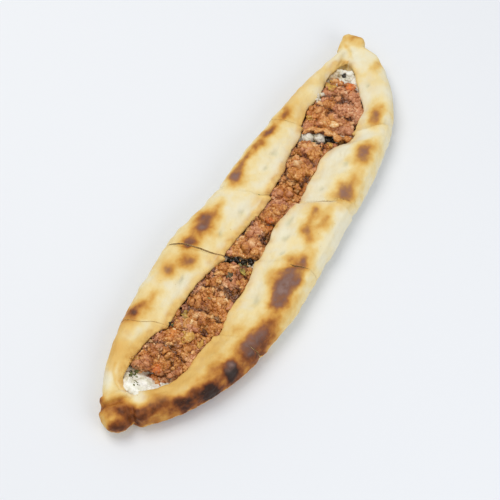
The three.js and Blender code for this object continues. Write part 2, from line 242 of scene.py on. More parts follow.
def bulgeOf(mesh, passes):  # how far each vertex stands over its smoothed surroundings, in mm
    places = placesOf(mesh)
    return np.einsum("ij,ij->i", places - relaxed(places, edgesOf(mesh), passes), normalsOf(mesh))


def distanceTo(places, route):  # seen from above, to a route of straight stretches
    nearest = np.full(len(places), np.inf)
    for (x0, y0), (x1, y1) in zip(route, route[1:]):
        dx, dy = x1 - x0, y1 - y0
        along = ((places[:, 0] - x0) * dx + (places[:, 1] - y0) * dy) / (dx * dx + dy * dy)
        along = np.clip(along, 0, 1)
        off = np.hypot(places[:, 0] - x0 - along * dx, places[:, 1] - y0 - along * dy)
        nearest = np.minimum(nearest, off)
    return nearest


def spotAt(places, x, y, width):  # 1 in the middle of a spot, fading towards its width
    return np.exp(-(np.hypot(places[:, 0] - x, places[:, 1] - y) * 2 / width) ** 2)


def bandAt(places, route, width):  # 1 on a route, fading towards its width
    return np.exp(-(distanceTo(places, route) / (0.6 * width)) ** 2)


# shader helpers


def newGroup(name, inputs, outputs):
    group = bpy.data.node_groups.new(name, "ShaderNodeTree")
    for label, kind, value in inputs:
        socket = group.interface.new_socket(label, in_out="INPUT", socket_type=kind)
        if value is not None:
            socket.default_value = value
    for label, kind in outputs:
        group.interface.new_socket(label, in_out="OUTPUT", socket_type=kind)
    return group, group.nodes.new("NodeGroupInput"), group.nodes.new("NodeGroupOutput")


def addNode(tree, kind, settings=None, inputs=None):
    node = tree.nodes.new("ShaderNode" + kind)
    for key, value in (settings or {}).items():
        setattr(node, key, value)
    for key, value in (inputs or {}).items():
        if isinstance(value, bpy.types.NodeSocket):
            tree.links.new(value, node.inputs[key])
        else:
            node.inputs[key].default_value = value
    return node


def addMath(tree, operation, *values, clamp=False):
    inputs = dict(enumerate(values))
    return addNode(tree, "Math", {"operation": operation, "use_clamp": clamp}, inputs).outputs[0]


def addRange(tree, value, low, high, toLow=0.0, toHigh=1.0):
    node = addNode(tree, "MapRange", {"interpolation_type": "SMOOTHSTEP"}, {
        "Value": value, "From Min": low, "From Max": high, "To Min": toLow, "To Max": toHigh,
    })
    return node.outputs["Result"]


def addRamp(tree, value, stops):  # stops are (place, sRGB code)
    node = addNode(tree, "ValToRGB", inputs={"Fac": value})
    elements = node.color_ramp.elements
    while len(elements) < len(stops):
        elements.new(1.0)
    for element, (place, code) in zip(elements, stops):
        element.position = place
        element.color = colour(code)
    return node.outputs["Color"]


def addBlend(tree, value, low, high):
    return addRamp(tree, value, [(0.0, low), (1.0, high)])


def addMix(tree, share, a, b, blend="MIX"):
    inputs = {0: share, 6: a, 7: b}
    return addNode(tree, "Mix", {"data_type": "RGBA", "blend_type": blend}, inputs).outputs[2]


def addAttribute(tree, name):
    return addNode(tree, "Attribute", {"attribute_name": name}).outputs["Fac"]


def addGroup(tree, group, inputs):
    return addNode(tree, "Group", {"node_tree": group}, inputs).outputs[0]


def addNoise(tree, place, scale, detail):
    inputs = {"Vector": place, "Scale": scale, "Detail": detail}
    return addNode(tree, "TexNoise", inputs=inputs).outputs["Fac"]


def makeMottle():  # soft patches, 0 to 1
    group, given, result = newGroup("mottle", [
        ("Place", "NodeSocketVector", None),
        ("Patch Scale", "NodeSocketFloat", 60.0),
        ("Low", "NodeSocketFloat", 0.3),
        ("High", "NodeSocketFloat", 0.7),
    ], [("Mask", "NodeSocketFloat")])
    patches = addNoise(group, given.outputs["Place"], given.outputs["Patch Scale"], 3.0)
    mask = addRange(group, patches, given.outputs["Low"], given.outputs["High"])
    group.links.new(mask, result.inputs["Mask"])
    return group


def makeGrain():  # height for a bump: fine grain over a coarser unevenness
    group, given, result = newGroup("grain", [
        ("Place", "NodeSocketVector", None),
        ("Fine Scale", "NodeSocketFloat", 900.0),
        ("Coarse Scale", "NodeSocketFloat", 200.0),
        ("Coarse Share", "NodeSocketFloat", 0.6),
    ], [("Height", "NodeSocketFloat")])
    fine = addNoise(group, given.outputs["Place"], given.outputs["Fine Scale"], 2.0)
    coarse = addNoise(group, given.outputs["Place"], given.outputs["Coarse Scale"], 2.0)
    inputs = {0: given.outputs["Coarse Share"], 2: fine, 3: coarse}
    height = addNode(group, "Mix", {"data_type": "FLOAT"}, inputs)
    group.links.new(height.outputs[0], result.inputs["Height"])
    return group


mottle = makeMottle()
grain = makeGrain()


def newMaterial(name):
    material = bpy.data.materials.new(name)
    material.use_nodes = True
    tree = material.node_tree
    place = addNode(tree, "TexCoord").outputs["Object"]
    return material, tree, tree.nodes["Principled BSDF"], place


def addPatches(tree, place, scale, low, high):
    return addGroup(tree, mottle, {"Place": place, "Patch Scale": scale, "Low": low, "High": high})


def addRelief(tree, shader, place, fine, coarse, share, strength, depth):  # depth in mm
    height = addGroup(tree, grain, {
        "Place": place, "Fine Scale": fine, "Coarse Scale": coarse, "Coarse Share": share,
    })
    bump = addNode(tree, "Bump", inputs={"Height": height, "Strength": strength, "Distance": depth * mm})
    tree.links.new(bump.outputs["Normal"], shader.inputs["Normal"])


def makeMottledMaterial(name, dark, light, finish):  # two colours in soft patches
    material, tree, shader, place = newMaterial(name)
    flesh = addBlend(tree, addPatches(tree, place, *finish["patches"]), dark, light)
    tree.links.new(flesh, shader.inputs["Base Color"])
    shader.inputs["Roughness"].default_value = finish["roughness"]
    addRelief(tree, shader, place, **finish["relief"])
    return material


# floor


def makeFloor(setup):
    bm = bmesh.new()
    bmesh.ops.create_grid(bm, x_segments=1, y_segments=1, size=setup["reach"] / 2)
    floor = objectFrom("floor", bm)
    material, _, shader, _ = newMaterial("paleFloor")
    shader.inputs["Base Color"].default_value = colour(setup["colour"])
    shader.inputs["Roughness"].default_value = setup["roughness"]
    floor.data.materials.append(material)


makeCamera(cameraSetup)
makeLights(lightSetup)
makeFloor(floorSetup)
print("camera, lights and floor are set")

# dough: one loaf is shaped and baked, then cut into its five slices

slices = ["1", "2", "3", "4", "5"]

doughShape = {
    "voxel": 0.8,
    "smoothing": 7,
    "cutReach": 0.6,  # what lies this close to a cut is a slice's end
    "overlap": 1.35,  # how far a slice's end is drawn over its cut before the slices are fused
    "fill": 0.9,  # evens out the slices' drawn-in ends
    "fillReach": 4.5,
    "waveDepth": 0.5,
    "waveSize": 22.0,
    "rippleDepth": 0.3,
    "rippleSize": 7.0,
    "wrinkleDepth": 0.16,  # where the crust is brown
    "wrinkleSize": 3.4,
    "pitDepth": 0.09,
    "pitSize": 2.6,
    "blisterHeight": 0.6,
    "dimpleDepth": 0.9,
    "dimpleSquash": 1.6,  # how much longer a dimple is than wide
    "lipWidth": 8.0,
    "straightGold": 1.5,  # how golden the lips are
    "bowedGold": 0.6,
    "paleRim": 0.8,
    "spread": 1.55,  # how far browning runs past a spot's size
    "spotFade": (1.2, 2.2),  # how fast a spot fades outwards, and how abruptly
    "haloFade": 0.42,
    "haloGain": 1.3,  # how much stronger a halo is than its spot
    "ragged": [(9, 1.1), (3, 0.3)],  # size and depth of the unevenness of the spots' outlines
    "mottling": [(30, 0.07), (12, 0.05)],  # size and strength of the browning's unevenness
    "streaks": [(14, 0.4), (5, 0.2)],  # and of the gold's
    "haloBrowning": 0.045,
    "crestBrowning": 0.16,
    "footCharAndShadow": 0.6,  # at the foot of the bowed wall's near half: charred crust with a painted contact shadow
    # shallow folds are coloured darker: partly browning, partly painted shade
    "foldBrowningAndShade": 0.12,
    "darkest": 0.8,  # without the scorches
    "deepestDarkenedFold": 3.0,  # folds deeper than this are in shade, and aren't darkened
}

# where the CAD slices end: x on the middle line and slant
sliceEnds = [(-107, -0.28), (-37, -0.35), (25, -0.4), (101, -0.41)]

# knife cuts, each from the bowed wall to the straighter one: path, how far it gapes along y,
# and how far its near and its far side are lifted along y
knifeCuts = [
    {
        "path": [
            (-98.6, -51), (-99.8, -45), (-98.8, -37), (-99, -16), (-112, 22), (-115, 31), (-121, 39),
            (-125, 54),
        ],
        "gape": [
            (-55, 1.6), (-50, 1.9), (-44, 1.3), (-41, 0.0), (-18, 0.0), (-12, 0.4), (18, 0.8), (22, 0.0),
        ],
        "nearLift": [(-60, 0), (-46, 0.3), (-38, 0), (20, 0), (28, -0.2), (46, -0.3), (56, 0)],
        "farLift": [(20, 0), (26, 0.4), (46, 0.4), (56, 0)],
    },
    {
        "path": [
            (-21.6, -50), (-25, -40), (-31, -9), (-39.4, 13), (-43, 21), (-45, 33), (-47, 39), (-49, 47),
            (-53, 55),
        ],
        "gape": [
            (-50, 0.3), (-45, 1.8), (-39, 2.3), (-35, 0.0), (-8, 0.0), (-4, 1.0), (13, 0.9), (18, 0.3),
            (28, 0.7), (38, 1.5), (48, 1.5), (56, 0.4),
        ],
        "nearLift": [(10, 0), (22, -0.9), (44, -0.9), (56, 0)],
        "farLift": [(10, 0), (22, 0.6), (44, 0.5), (56, 0)],
    },
    {
        "path": [
            (38.6, -56), (38.5, -45), (35, -33), (30, -23), (27, -16), (26.5, 9), (22, 14), (19, 20),
            (14, 36), (11, 49),
        ],
        "gape": [
            (-58, 0.2), (-14, 0.3), (6, 1.0), (10, 1.5), (17, 1.4), (23, 0.2), (26, 0.0), (43, 0.0),
            (47, 1.0),
        ],
        "nearLift": [
            (-60, 0.6), (-40, 0.9), (-14, 1.2), (-8, 0.6), (9, 0.6), (22, 0.8), (28, 0), (60, 0),
        ],
        "farLift": [(-60, -2.0), (-46, -3.0), (-20, -3.3), (-12, -1.5), (9, 0), (60, 0)],
    },
    {
        "path": [(130, -46), (118, -34), (110.5, -24), (96.5, 18), (92, 28), (88, 36.5)],
        "gape": [(-36, 0.0), (-28, 0.4), (-22, 0.9), (-10, 1.0), (16, 0.7), (21, 0.0)],
        "nearLift": [(-60, 0.3), (-44, 0.7), (-24, 1.2), (-14, 0), (60, 0)],
        "farLift": [(-60, -0.4), (-40, -1.4), (-24, -1.8), (-14, 0), (20, 0), (26, 0.3), (40, 0.2)],
    },
]

cutShape = {
    "rounding": 0.75,  # how far a cut's edge is drawn in, for each mm that it gapes
    "roundingReach": (0.7, 0.8),  # how far from the cut: the least, and more for each mm that it gapes
    "liftReach": 6.0,
    "parting": (0.005, 0.28),  # the least gap, and how much of the gape parts the two faces
    "partingReach": 2.0,
    "lean": 0.93,  # what is left of a distance along x, measured square to the slanting cut
}

# browned spots: x, y, length, width, turn in degrees, strength
scorches = [
    # straighter wall from the near end
    (-114, 45.5, 17, 8, -20, 0.62),
    (-98, 40.5, 8, 4, 0, 0.3),
    (-74.5, 41, 9, 7, 0, 0.75),
    (-59, 32.5, 12, 9, -20, 0.78),
    (-45, 41, 10, 7, 8, 0.85),
    (-25, 38.5, 17, 11, 0, 0.92),
    (-9, 36, 12, 5, 0, 0.4),
    (24, 39, 14, 9, 8, 0.88),
    (34.5, 41, 8, 5, 0, 0.55),
    (44, 40.5, 10, 5, -8, 0.6),
    (58, 37.5, 13, 6, -10, 0.55),
    (74.5, 37, 12, 6, -12, 0.75),
    (94, 35, 13, 6, -10, 0.6),
    # bowed wall from the near end
    (-160.5, -22, 10, 6, -45, 0.3),
    (-149, -28, 8, 6, -35, 0.2),
    (-143, -37, 9, 8, -30, 0.92),
    (-121.7, -39, 10, 10, -20, 0.97),
    (-102.5, -42, 13, 11, -20, 0.88),
    (-90, -43, 13, 10, -10, 0.85),
    (-80, -46, 11, 8, 0, 0.55),
    (-130, -29, 8, 6, 0, 0.3),
    (-90, -28, 8, 6, 0, 0.3),
    (-59, -43.5, 14, 10, 8, 0.8),
    (-46.5, -41, 18, 12, 8, 0.96),
    (-38, -47, 13, 7, 10, 0.8),
    (-34, -39, 12, 9, 8, 0.8),
    (-42, -29, 11, 8, 20, 0.4),
    (-20.5, -43.5, 13, 9, 0, 0.8),
    (-21, -33, 8, 6, 0, 0.5),
    (-1, -39.5, 8, 6, 0, 0.45),
    (-8, -45, 7, 6, 0, 0.35),
    (6, -33.5, 9, 8, 0, 0.75),
    (13, -42, 7, 6, 0, 0.4),
    (24.5, -31.5, 9, 7, 0, 0.7),
    (20.5, -41.5, 10, 7, 0, 0.6),
    (15, -31, 7, 6, 0, 0.5),
    (31, -40, 6, 5, 0, 0.4),
    (51, -42.5, 18, 14, 10, 0.84),
    (67, -44, 12, 8, 0, 0.4),
    (80, -29, 7, 5, 0, 0.2),
    (88, -40, 16, 12, 10, 0.78),
    (97, -38, 9, 7, 10, 0.4),
    (103, -44, 9, 6, 10, 0.25),
    (129, -31, 15, 8, 20, 0.78),
    (178, -8, 10, 7, 0, 0.35),
]

# stretches baked browner or, below 0, paler: route, width and strength
bakedBands = [
    ([(-176, -1), (-170, -7), (-163, -18), (-155, -26), (-147, -31)], 12, 0.33),
    ([(-142, -36), (-130, -42), (-116, -47), (-100, -50), (-82, -53)], 13, 0.26),
    ([(-172, -2), (-167, -5)], 9, 0.2),
    ([(-158, -13), (-150, -19)], 7, -0.1),
    ([(-70, -45), (-40, -40), (-20, -40)], 18, 0.06),
    ([(-198, 14), (-193, 8), (-186, 4)], 8, 0.3),
    ([(-196, 22), (-193, 19)], 9, -0.3),
    ([(-192, 31), (-184, 28), (-176, 22)], 8, 0.1),
    ([(-189, 19), (-184, 12)], 8, 0.26),
    ([(-186, 4), (-178, -2)], 6, 0.2),
    ([(-60, 38), (-30, 39), (0, 37)], 12, 0.05),
    ([(40, 39), (70, 37), (96, 33)], 9, 0.1),
    ([(184, 30), (192, 27), (196, 20), (192, 12)], 8, 0.14),
    ([(184, 25), (194, 21)], 10, 0.12),
    ([(170, 3), (188, 0)], 13, -0.12),
    ([(-170, 20), (-168, 12), (-172, 5)], 11, -0.55),
    ([(-122, 34), (-134, 36)], 10, -0.2),
    ([(-146, 48), (-158, 40)], 9, 0.08),
    ([(-162, 26), (-160, 34)], 6, -0.12),
    ([(164, 24), (176, 22), (184, 18), (174, 11)], 10, -0.16),
    ([(120, 25), (134, 23), (148, 22)], 12, -0.12),
    ([(140, -13), (150, -9)], 12, -0.1),
    ([(-82, 27), (-58, 26)], 12, -0.1),
    ([(-182, 26), (-174, 34), (-168, 38)], 10, -0.36),
    ([(-120, 47), (-116, 44)], 7, 0.16),
]

# faint greyish dents: x, y, width
dimples = [
    (43, 23, 6), (-25, 24, 7), (-1, 20, 6), (60, 24, 6), (-76, 30, 6), (-64, -28, 8),
    (10, -16, 7), (-5, -21, 6), (-19, -25, 5), (75, -31, 6), (47, -24, 6), (156, -10, 5),
]

# folds in the dough: route, width and depth, or height where below 0
creases = [
    ([(-191, 29), (-188, 27), (-184, 23), (-179.5, 19), (-174.5, 15.6)], 1.7, 2.4),
    ([(-179, 10), (-185, 5), (-192, 1)], 2.0, 1.7),
    ([(-157, 36.5), (-163, 34.5), (-169, 29), (-172, 23.5)], 1.1, 0.8),
    ([(-184, 31), (-178, 26), (-172, 19)], 3.4, -1.2),
    ([(184, 23), (180.4, 16.7), (176, 13)], 1.8, 0.5),
    ([(150, 12.5), (160, 14.5), (170, 16.5), (177, 18)], 3.6, 4.5),
]

# swellings: x, y, width and height
swellings = [
    (195, 29.5, 8, 0.6), (196, 16, 9, 1.8), (190, 10, 9, 1.6), (-178, 14, 7, 1.0), (-193, 12, 10, 1.0),
    (-140, -20, 16, 0.9), (-118, -28, 14, 0.9), (-160, -2, 12, 0.7), (150, -14, 16, 0.6),
    (60, -30, 18, 0.6), (8, -30, 16, 0.6),
]

# how brown each wall is along x
bakeAlong = {
    "straight": ([-200, -180, -168, -125, -110, -95, -40, -10, 60, 90, 105, 125, 160, 200],
                 [0.61, 0.57, 0.31, 0.27, 0.24, 0.19, 0.13, 0.08, 0.06, 0.1, 0.2, 0.24, 0.2, 0.22]),
    "bowed": ([-200, -180, -165, -150, -110, -95, -30, 10, 40, 90, 105, 150, 200],
              [0.6, 0.54, 0.37, 0.33, 0.26, 0.19, 0.08, 0.03, 0.0, 0.0, 0.05, 0.1, 0.16]),
}

# golden stretches, fried in fat: route, width and strength
goldenBands = [
    ([(-150, 32), (-158, 30.5), (-165, 27)], 5, 0.7),
    ([(-140, 40), (-150, 36)], 8, 0.5),
    ([(-126, 42), (-133, 42)], 6, 0.6),
    ([(-100, -20), (-118, -16), (-136, -16), (-150, -10)], 8, 0.6),
    ([(-168, 4), (-158, -6), (-148, -14)], 9, 0.6),
    ([(104, 25), (116, 27)], 7, 0.5),
    ([(125, 32), (145, 31)], 9, 0.4),
    ([(105, 36), (122, 37)], 8, 0.5),
    ([(-85, 44), (-70, 45)], 8, 0.4),
    ([(150, -16), (165, -8)], 9, 0.3),
    ([(-50, 20), (-38, 17)], 7, 0.8),
    ([(10, 15), (24, 12)], 6, 0.7),
    ([(-85, -18), (-60, -16), (-36, -13)], 5, 0.35),
    ([(-162, 40), (-148, 45), (-130, 49)], 11, 0.5),
    ([(25, -17), (29, -25), (34, -34), (37, -46)], 6, 0.45),
]

# stretches of the rims that stayed pale: route and width
paleRims = [
    ([(116, 26), (134, 22), (148, 23)], 16),
    ([(138, -15), (150, -9), (158, -3)], 14),
    ([(60, 20), (84, 20)], 10),
    ([(-82, 28), (-58, 27)], 12),
]

# the middle of the trough, as x and y
middleLine = ([-175, -150, -100, -40, 20, 100, 150, 175], [18, 12, 2, 1.5, -2, -1, 12, 16])

rimSearch = {
    "lowest": 11.5,
    "facing": 0.3,  # how far up a rim faces, at least
    "reach": 172,  # how far from the middle the rims end
    "step": 1.5,
}
rims = {}


def fuseSlices(shape):
    bm = bmesh.new()
    for name in slices:
        bm.from_mesh(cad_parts["dough_" + name].data)
    bmesh.ops.remove_doubles(bm, verts=bm.verts, dist=0.01 * mm)
    for v in bm.verts:
        for x, slant in sliceEnds:
            off = v.co.x - x * mm - slant * v.co.y
            if abs(off) < shape["cutReach"] * mm:
                v.co.x -= math.copysign(shape["overlap"] * mm, off)
    loaf = objectFrom("loaf", bm)
    remesh(loaf, shape["voxel"], shape["smoothing"])
    return loaf


def findRims(places, normals, search):  # how far each rim lies from the middle line, along x
    reach, step = search["reach"], search["step"]
    rim = (places[:, 2] > search["lowest"]) & (normals[:, 2] > search["facing"])
    rim &= np.abs(places[:, 0]) < reach
    columns = np.arange(-reach, reach + 1, step)
    found = {}
    for side in (1, -1):
        out = side * (places[:, 1] - np.interp(places[:, 0], *middleLine))
        chosen = rim & (out > 0)
        closest = np.full(len(columns) + 1, np.inf)
        np.minimum.at(closest, np.digitize(places[chosen, 0], columns), out[chosen])
        closest = closest[1:-1]
        known = np.isfinite(closest)
        soft = np.convolve(closest[known], np.ones(3) / 3, "same")
        found[side] = (columns[:-1][known][1:-1] + step / 2, soft[1:-1])
    return found


def pastRim(places, side):  # distance beyond a rim; below 0 inside the trough
    out = side * (places[:, 1] - np.interp(places[:, 0], *middleLine))
    return out - np.interp(places[:, 0], *rims[side])


def lipNearness(places, side, width):  # 1 on the rim, 0 a width away from it
    off = pastRim(places, side)
    near = smoothStep(width, 0.1 * width, off) * (off > -2.5) * smoothStep(9, 11, places[:, 2])
    return near * smoothStep(176, 168, np.abs(places[:, 0]))


def scorchesOn(warped, upper, shape):  # how scorched the skin is, and how near it lies to a scorch
    scorch, halo = np.zeros(len(warped)), np.zeros(len(warped))
    fade, power = shape["spotFade"]
    for x, y, length, width, turn, strength in scorches:
        c, s = math.cos(math.radians(turn)), math.sin(math.radians(turn))
        dx, dy = warped[:, 0] - x, warped[:, 1] - y
        off = np.hypot((dx * c + dy * s) / length, (dy * c - dx * s) / width) * 2 / shape["spread"]
        scorch = 1 - (1 - scorch) * (1 - strength * np.exp(-fade * off ** power) * upper)
        glow = min(1, shape["haloGain"] * strength) * np.exp(-shape["haloFade"] * off ** 2)
        halo = np.maximum(halo, glow * upper)
    return scorch, halo


def browningOn(places, normals, warped, upper, shape):  # how brown the skin is beside the scorches, with a painted contact shadow at the foot
    x, y, z = places.T
    straight = np.interp(x, *bakeAlong["straight"])
    bowed = np.interp(x, *bakeAlong["bowed"])
    side = smoothStep(-3, 3, y - np.interp(x, *middleLine))
    bake = bowed + (straight - bowed) * side
    for route, width, strength in bakedBands:
        bake += strength * bandAt(warped, route, width) * (0.25 + 0.75 * upper)
    (broad, broadShare), (small, smallShare) = shape["mottling"]
    flecks = smallShare * uneven(places, small, 22) * (0.3 + 2 * bake)
    bake += broadShare * uneven(places, broad, 21) + flecks
    bake *= 0.35 + 0.65 * smoothStep(-0.9, 0.1, normals[:, 2])
    # the foot of the bowed wall's near half is darkened: charred crust and painted contact shadow
    foot = smoothStep(8, 3, z) * smoothStep(-78, -100, x) * smoothStep(-188, -165, x) * (1 - side)
    return bake + shape["footCharAndShadow"] * foot * smoothStep(0.7, 0.1, normals[:, 2])


def goldOn(places, warped, upper, shape):  # how golden with fat the skin is
    straightLip = lipNearness(places, 1, shape["lipWidth"])
    bowedLip = lipNearness(places, -1, shape["lipWidth"])
    streaks = 0.95
    for k, (size, strength) in enumerate(shape["streaks"]):
        streaks = streaks + strength * uneven(places, size, 23 + k)
    gold = np.maximum(shape["straightGold"] * straightLip, shape["bowedGold"] * bowedLip)
    gold = np.clip(gold * streaks, 0, 1)
    for route, width, strength in goldenBands:
        gold = np.maximum(gold, strength * bandAt(warped, route, width) * upper)
    for route, width in paleRims:
        gold *= 1 - shape["paleRim"] * bandAt(warped, route, width)
    return gold


def dentsOn(warped, upper, shape):
    dent = np.zeros(len(warped))
    for x, y, width in dimples:
        off = np.hypot(warped[:, 0] - x, (warped[:, 1] - y) * shape["dimpleSquash"])
        dent = np.maximum(dent, np.exp(-(off / (0.5 * width)) ** 2) * upper)
    return dent


def reliefOn(places, normals, skin, bake, shape):  # how far the skin is lifted by its unevenness
    x, y = places[:, 0], places[:, 1]
    lift = np.zeros(len(places))
    for endX, slant in sliceEnds:
        off = np.abs(x - endX - slant * y)
        fill = shape["fill"] * smoothStep(shape["fillReach"], 0, off)
        lift += fill * skin * smoothStep(-0.6, 0.1, normals[:, 2])
    crisp = smoothStep(0.12, 0.4, bake) * skin
    kinds = [("wave", 31, skin), ("ripple", 32, skin), ("pit", 33, skin), ("wrinkle", 34, crisp)]
    for kind, seed, share in kinds:
        lift += shape[kind + "Depth"] * uneven(places, shape[kind + "Size"], seed) * share
    for x, y, width, height in swellings:
        lift += height * spotAt(places, x, y, width) * skin
    return lift


def bakeLoaf(loaf, shape):  # moves the skin into folds and blisters, and stores how brown it is, with painted shade in the shallow folds and at the foot
    mesh = loaf.data
    places, normals = placesOf(mesh), normalsOf(mesh)
    z = places[:, 2]
    upper = smoothStep(4, 11, z) * smoothStep(-0.35, 0.25, normals[:, 2])
    skin = smoothStep(0.3, 3, z)
    warped = places.copy()
    for axis in (0, 1):
        for k, (size, depth) in enumerate(shape["ragged"]):
            warped[:, axis] += depth * uneven(places, size, 11 + 2 * axis + k)
    scorch, halo = scorchesOn(warped, upper, shape)
    bake = browningOn(places, normals, warped, upper, shape)
    rims.update(findRims(places, normals, rimSearch))
    gold = goldOn(places, warped, upper, shape)
    bake += shape["haloBrowning"] * halo
    bake += shape["crestBrowning"] * smoothStep(0.15, 0.9, bulgeOf(mesh, 24)) * smoothStep(6, 10, z)
    dent = dentsOn(warped, upper, shape)
    lift = shape["blisterHeight"] * scorch * upper - shape["dimpleDepth"] * dent
    lift += reliefOn(places, normals, skin, bake, shape)
    # shallow folds are coloured darker, partly browning and partly painted shade
    for route, width, depth in creases:
        groove = np.exp(-(distanceTo(places, route) / width) ** 2) * upper
        lift -= depth * groove
        bake += shape["foldBrowningAndShade"] * groove * (0 < depth < shape["deepestDarkenedFold"])
    moved = places + normals * lift[:, None]
    moved[:, 2] = np.where(z < 0.5, z, np.clip(moved[:, 2], 0.3, 26.2))
    setPlaces(mesh, moved)
    storeValues(mesh, bake=np.clip(bake, 0, shape["darkest"]), scorch=scorch, gold=gold, dent=dent)
    away = mesh.attributes.new("away", "FLOAT_VECTOR", "POINT")
    away.data.foreach_set("vector", normalsOf(mesh).astype(np.float32).ravel())


def knifeLine(cut, y):  # x of a cut at y
    path = np.array(cut["path"])
    soft = [np.interp(y + step, path[:, 1], path[:, 0]) for step in (-2, -1, 0, 1, 2)]
    return np.mean(soft, axis=0)


def knifeHalf(piece, name, cut, side):  # the part of a piece on one side of a cut, closed along it
    half = objectOf(name, piece.data.copy())
    places = placesOf(half.data)
    places[:, 0] -= knifeLine(cut, places[:, 1])
    setPlaces(half.data, places)
    bm = bmesh.new()
    bm.from_mesh(half.data)
    everything = bm.verts[:] + bm.edges[:] + bm.faces[:]
    made = bmesh.ops.bisect_plane(
        bm, geom=everything, dist=1e-6, plane_co=(0, 0, 0), plane_no=(-side, 0, 0), clear_outer=True,
    )
    rim = [e for e in made["geom_cut"] if isinstance(e, bmesh.types.BMEdge)]
    caps = bmesh.ops.edgeloop_fill(bm, edges=rim, mat_nr=1)["faces"]
    bmesh.ops.triangulate(bm, faces=caps)
    for e in rim:
        e.smooth = False
    bmesh.ops.recalc_face_normals(bm, faces=bm.faces)
    bm.to_mesh(half.data)
    bm.free()
    places = placesOf(half.data)
    places[:, 0] += knifeLine(cut, places[:, 1])
    setPlaces(half.data, places)
    return half


def openCut(piece, cut, side, shape):  # rounds and draws back a piece's edge beside a cut
    mesh = piece.data
    places = placesOf(mesh)
    away = np.empty(len(places) * 3)
    mesh.attributes["away"].data.foreach_get("vector", away)
    away = away.reshape(-1, 3)
    off = np.abs(places[:, 0] - knifeLine(cut, places[:, 1])) * shape["lean"]
    gape = np.interp(places[:, 1], *zip(*cut["gape"]))
    lift = np.interp(places[:, 1], *zip(*cut["nearLift" if side < 0 else "farLift"]))
    outside = smoothStep(1.5, 5, places[:, 2]) * smoothStep(-0.7, 0.0, away[:, 2])
    nearest, growth = shape["roundingReach"]
    sink = shape["rounding"] * gape * np.exp(-(off / (nearest + growth * gape)) ** 2) * outside
    places += away * (lift * np.exp(-(off / shape["liftReach"]) ** 2) * outside - sink)[:, None]
    least, share = shape["parting"]
    places[:, 0] += side * (least + share * gape) * np.exp(-(off / shape["partingReach"]) ** 2)
    setPlaces(mesh, places)


def makeDough(shape):
    loaf = fuseSlices(shape)
    bakeLoaf(loaf, shape)
    rest, made = loaf, []
    for name, cut in zip(slices, knifeCuts + [None]):
        piece = knifeHalf(rest, "slice_" + name, cut, -1) if cut else rest
        made.append(piece)
        if cut:
            farther = knifeHalf(rest, "loafRest", cut, 1)
            openCut(piece, cut, -1, cutShape)
            openCut(farther, cut, 1, cutShape)
            discard(rest)
            rest = farther
    rest.name = rest.data.name = "slice_" + slices[-1]
    for name, piece in zip(slices, made):
        piece.data.attributes.remove(piece.data.attributes["away"])
        piece.data.shade_smooth()
        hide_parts("dough_" + name)
        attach(piece, "root")
    return made


crustFinish = {
    # how brown, and its colour
    "browning": [
        (0.0, "e8e1c4"), (0.14, "e8d49c"), (0.3, "dfba6e"), (0.45, "d09a47"),
        (0.6, "b0722f"), (0.75, "84481b"), (0.9, "532910"), (1.0, "321a0e"),
    ],
    "broadPatches": (38.0, 0.3, 0.7),
    "smallPatches": (170.0, 0.25, 0.75),
    "scorchBrowning": 0.66,
    "fleckBrowning": 0.22,
    "butter": ("cc9742", "eac677"),
    "butterShare": 0.85,
    "charred": ("74584e", "8e7168"),
    "charredFrom": (0.45, 1.0),  # how scorched that starts and ends
    "burnt": "3a302c",  # charred where the crust is dark anyway
    "burntFrom": (0.4, 0.62),  # how brown that starts and ends
    "flour": "e2ddca",
    "flourFrom": (0.2, 0.04),
    "flourShare": 0.4,
    "dent": "b3b18c",
    "dentShare": 0.45,
    "pinholes": "a07440",
    "pinholeScale": 330.0,
    "pinholeEdge": (0.16, 0.05),
    "roughness": 0.5,
    "specular": 0.2,
    "relief": {"fine": 800.0, "coarse": 190.0, "share": 0.65, "strength": 0.55, "depth": 0.9},
}

# the soft inside of the dough, bared by the knife, coloured darker than the crumb itself as painted shade
# in the narrow knife gaps
gapShadedCrumbFinish = {
    "patches": (700.0, 0.35, 0.6),
    "roughness": 0.8,
    "relief": {"fine": 1600.0, "coarse": 600.0, "share": 0.6, "strength": 0.6, "depth": 0.6},
}


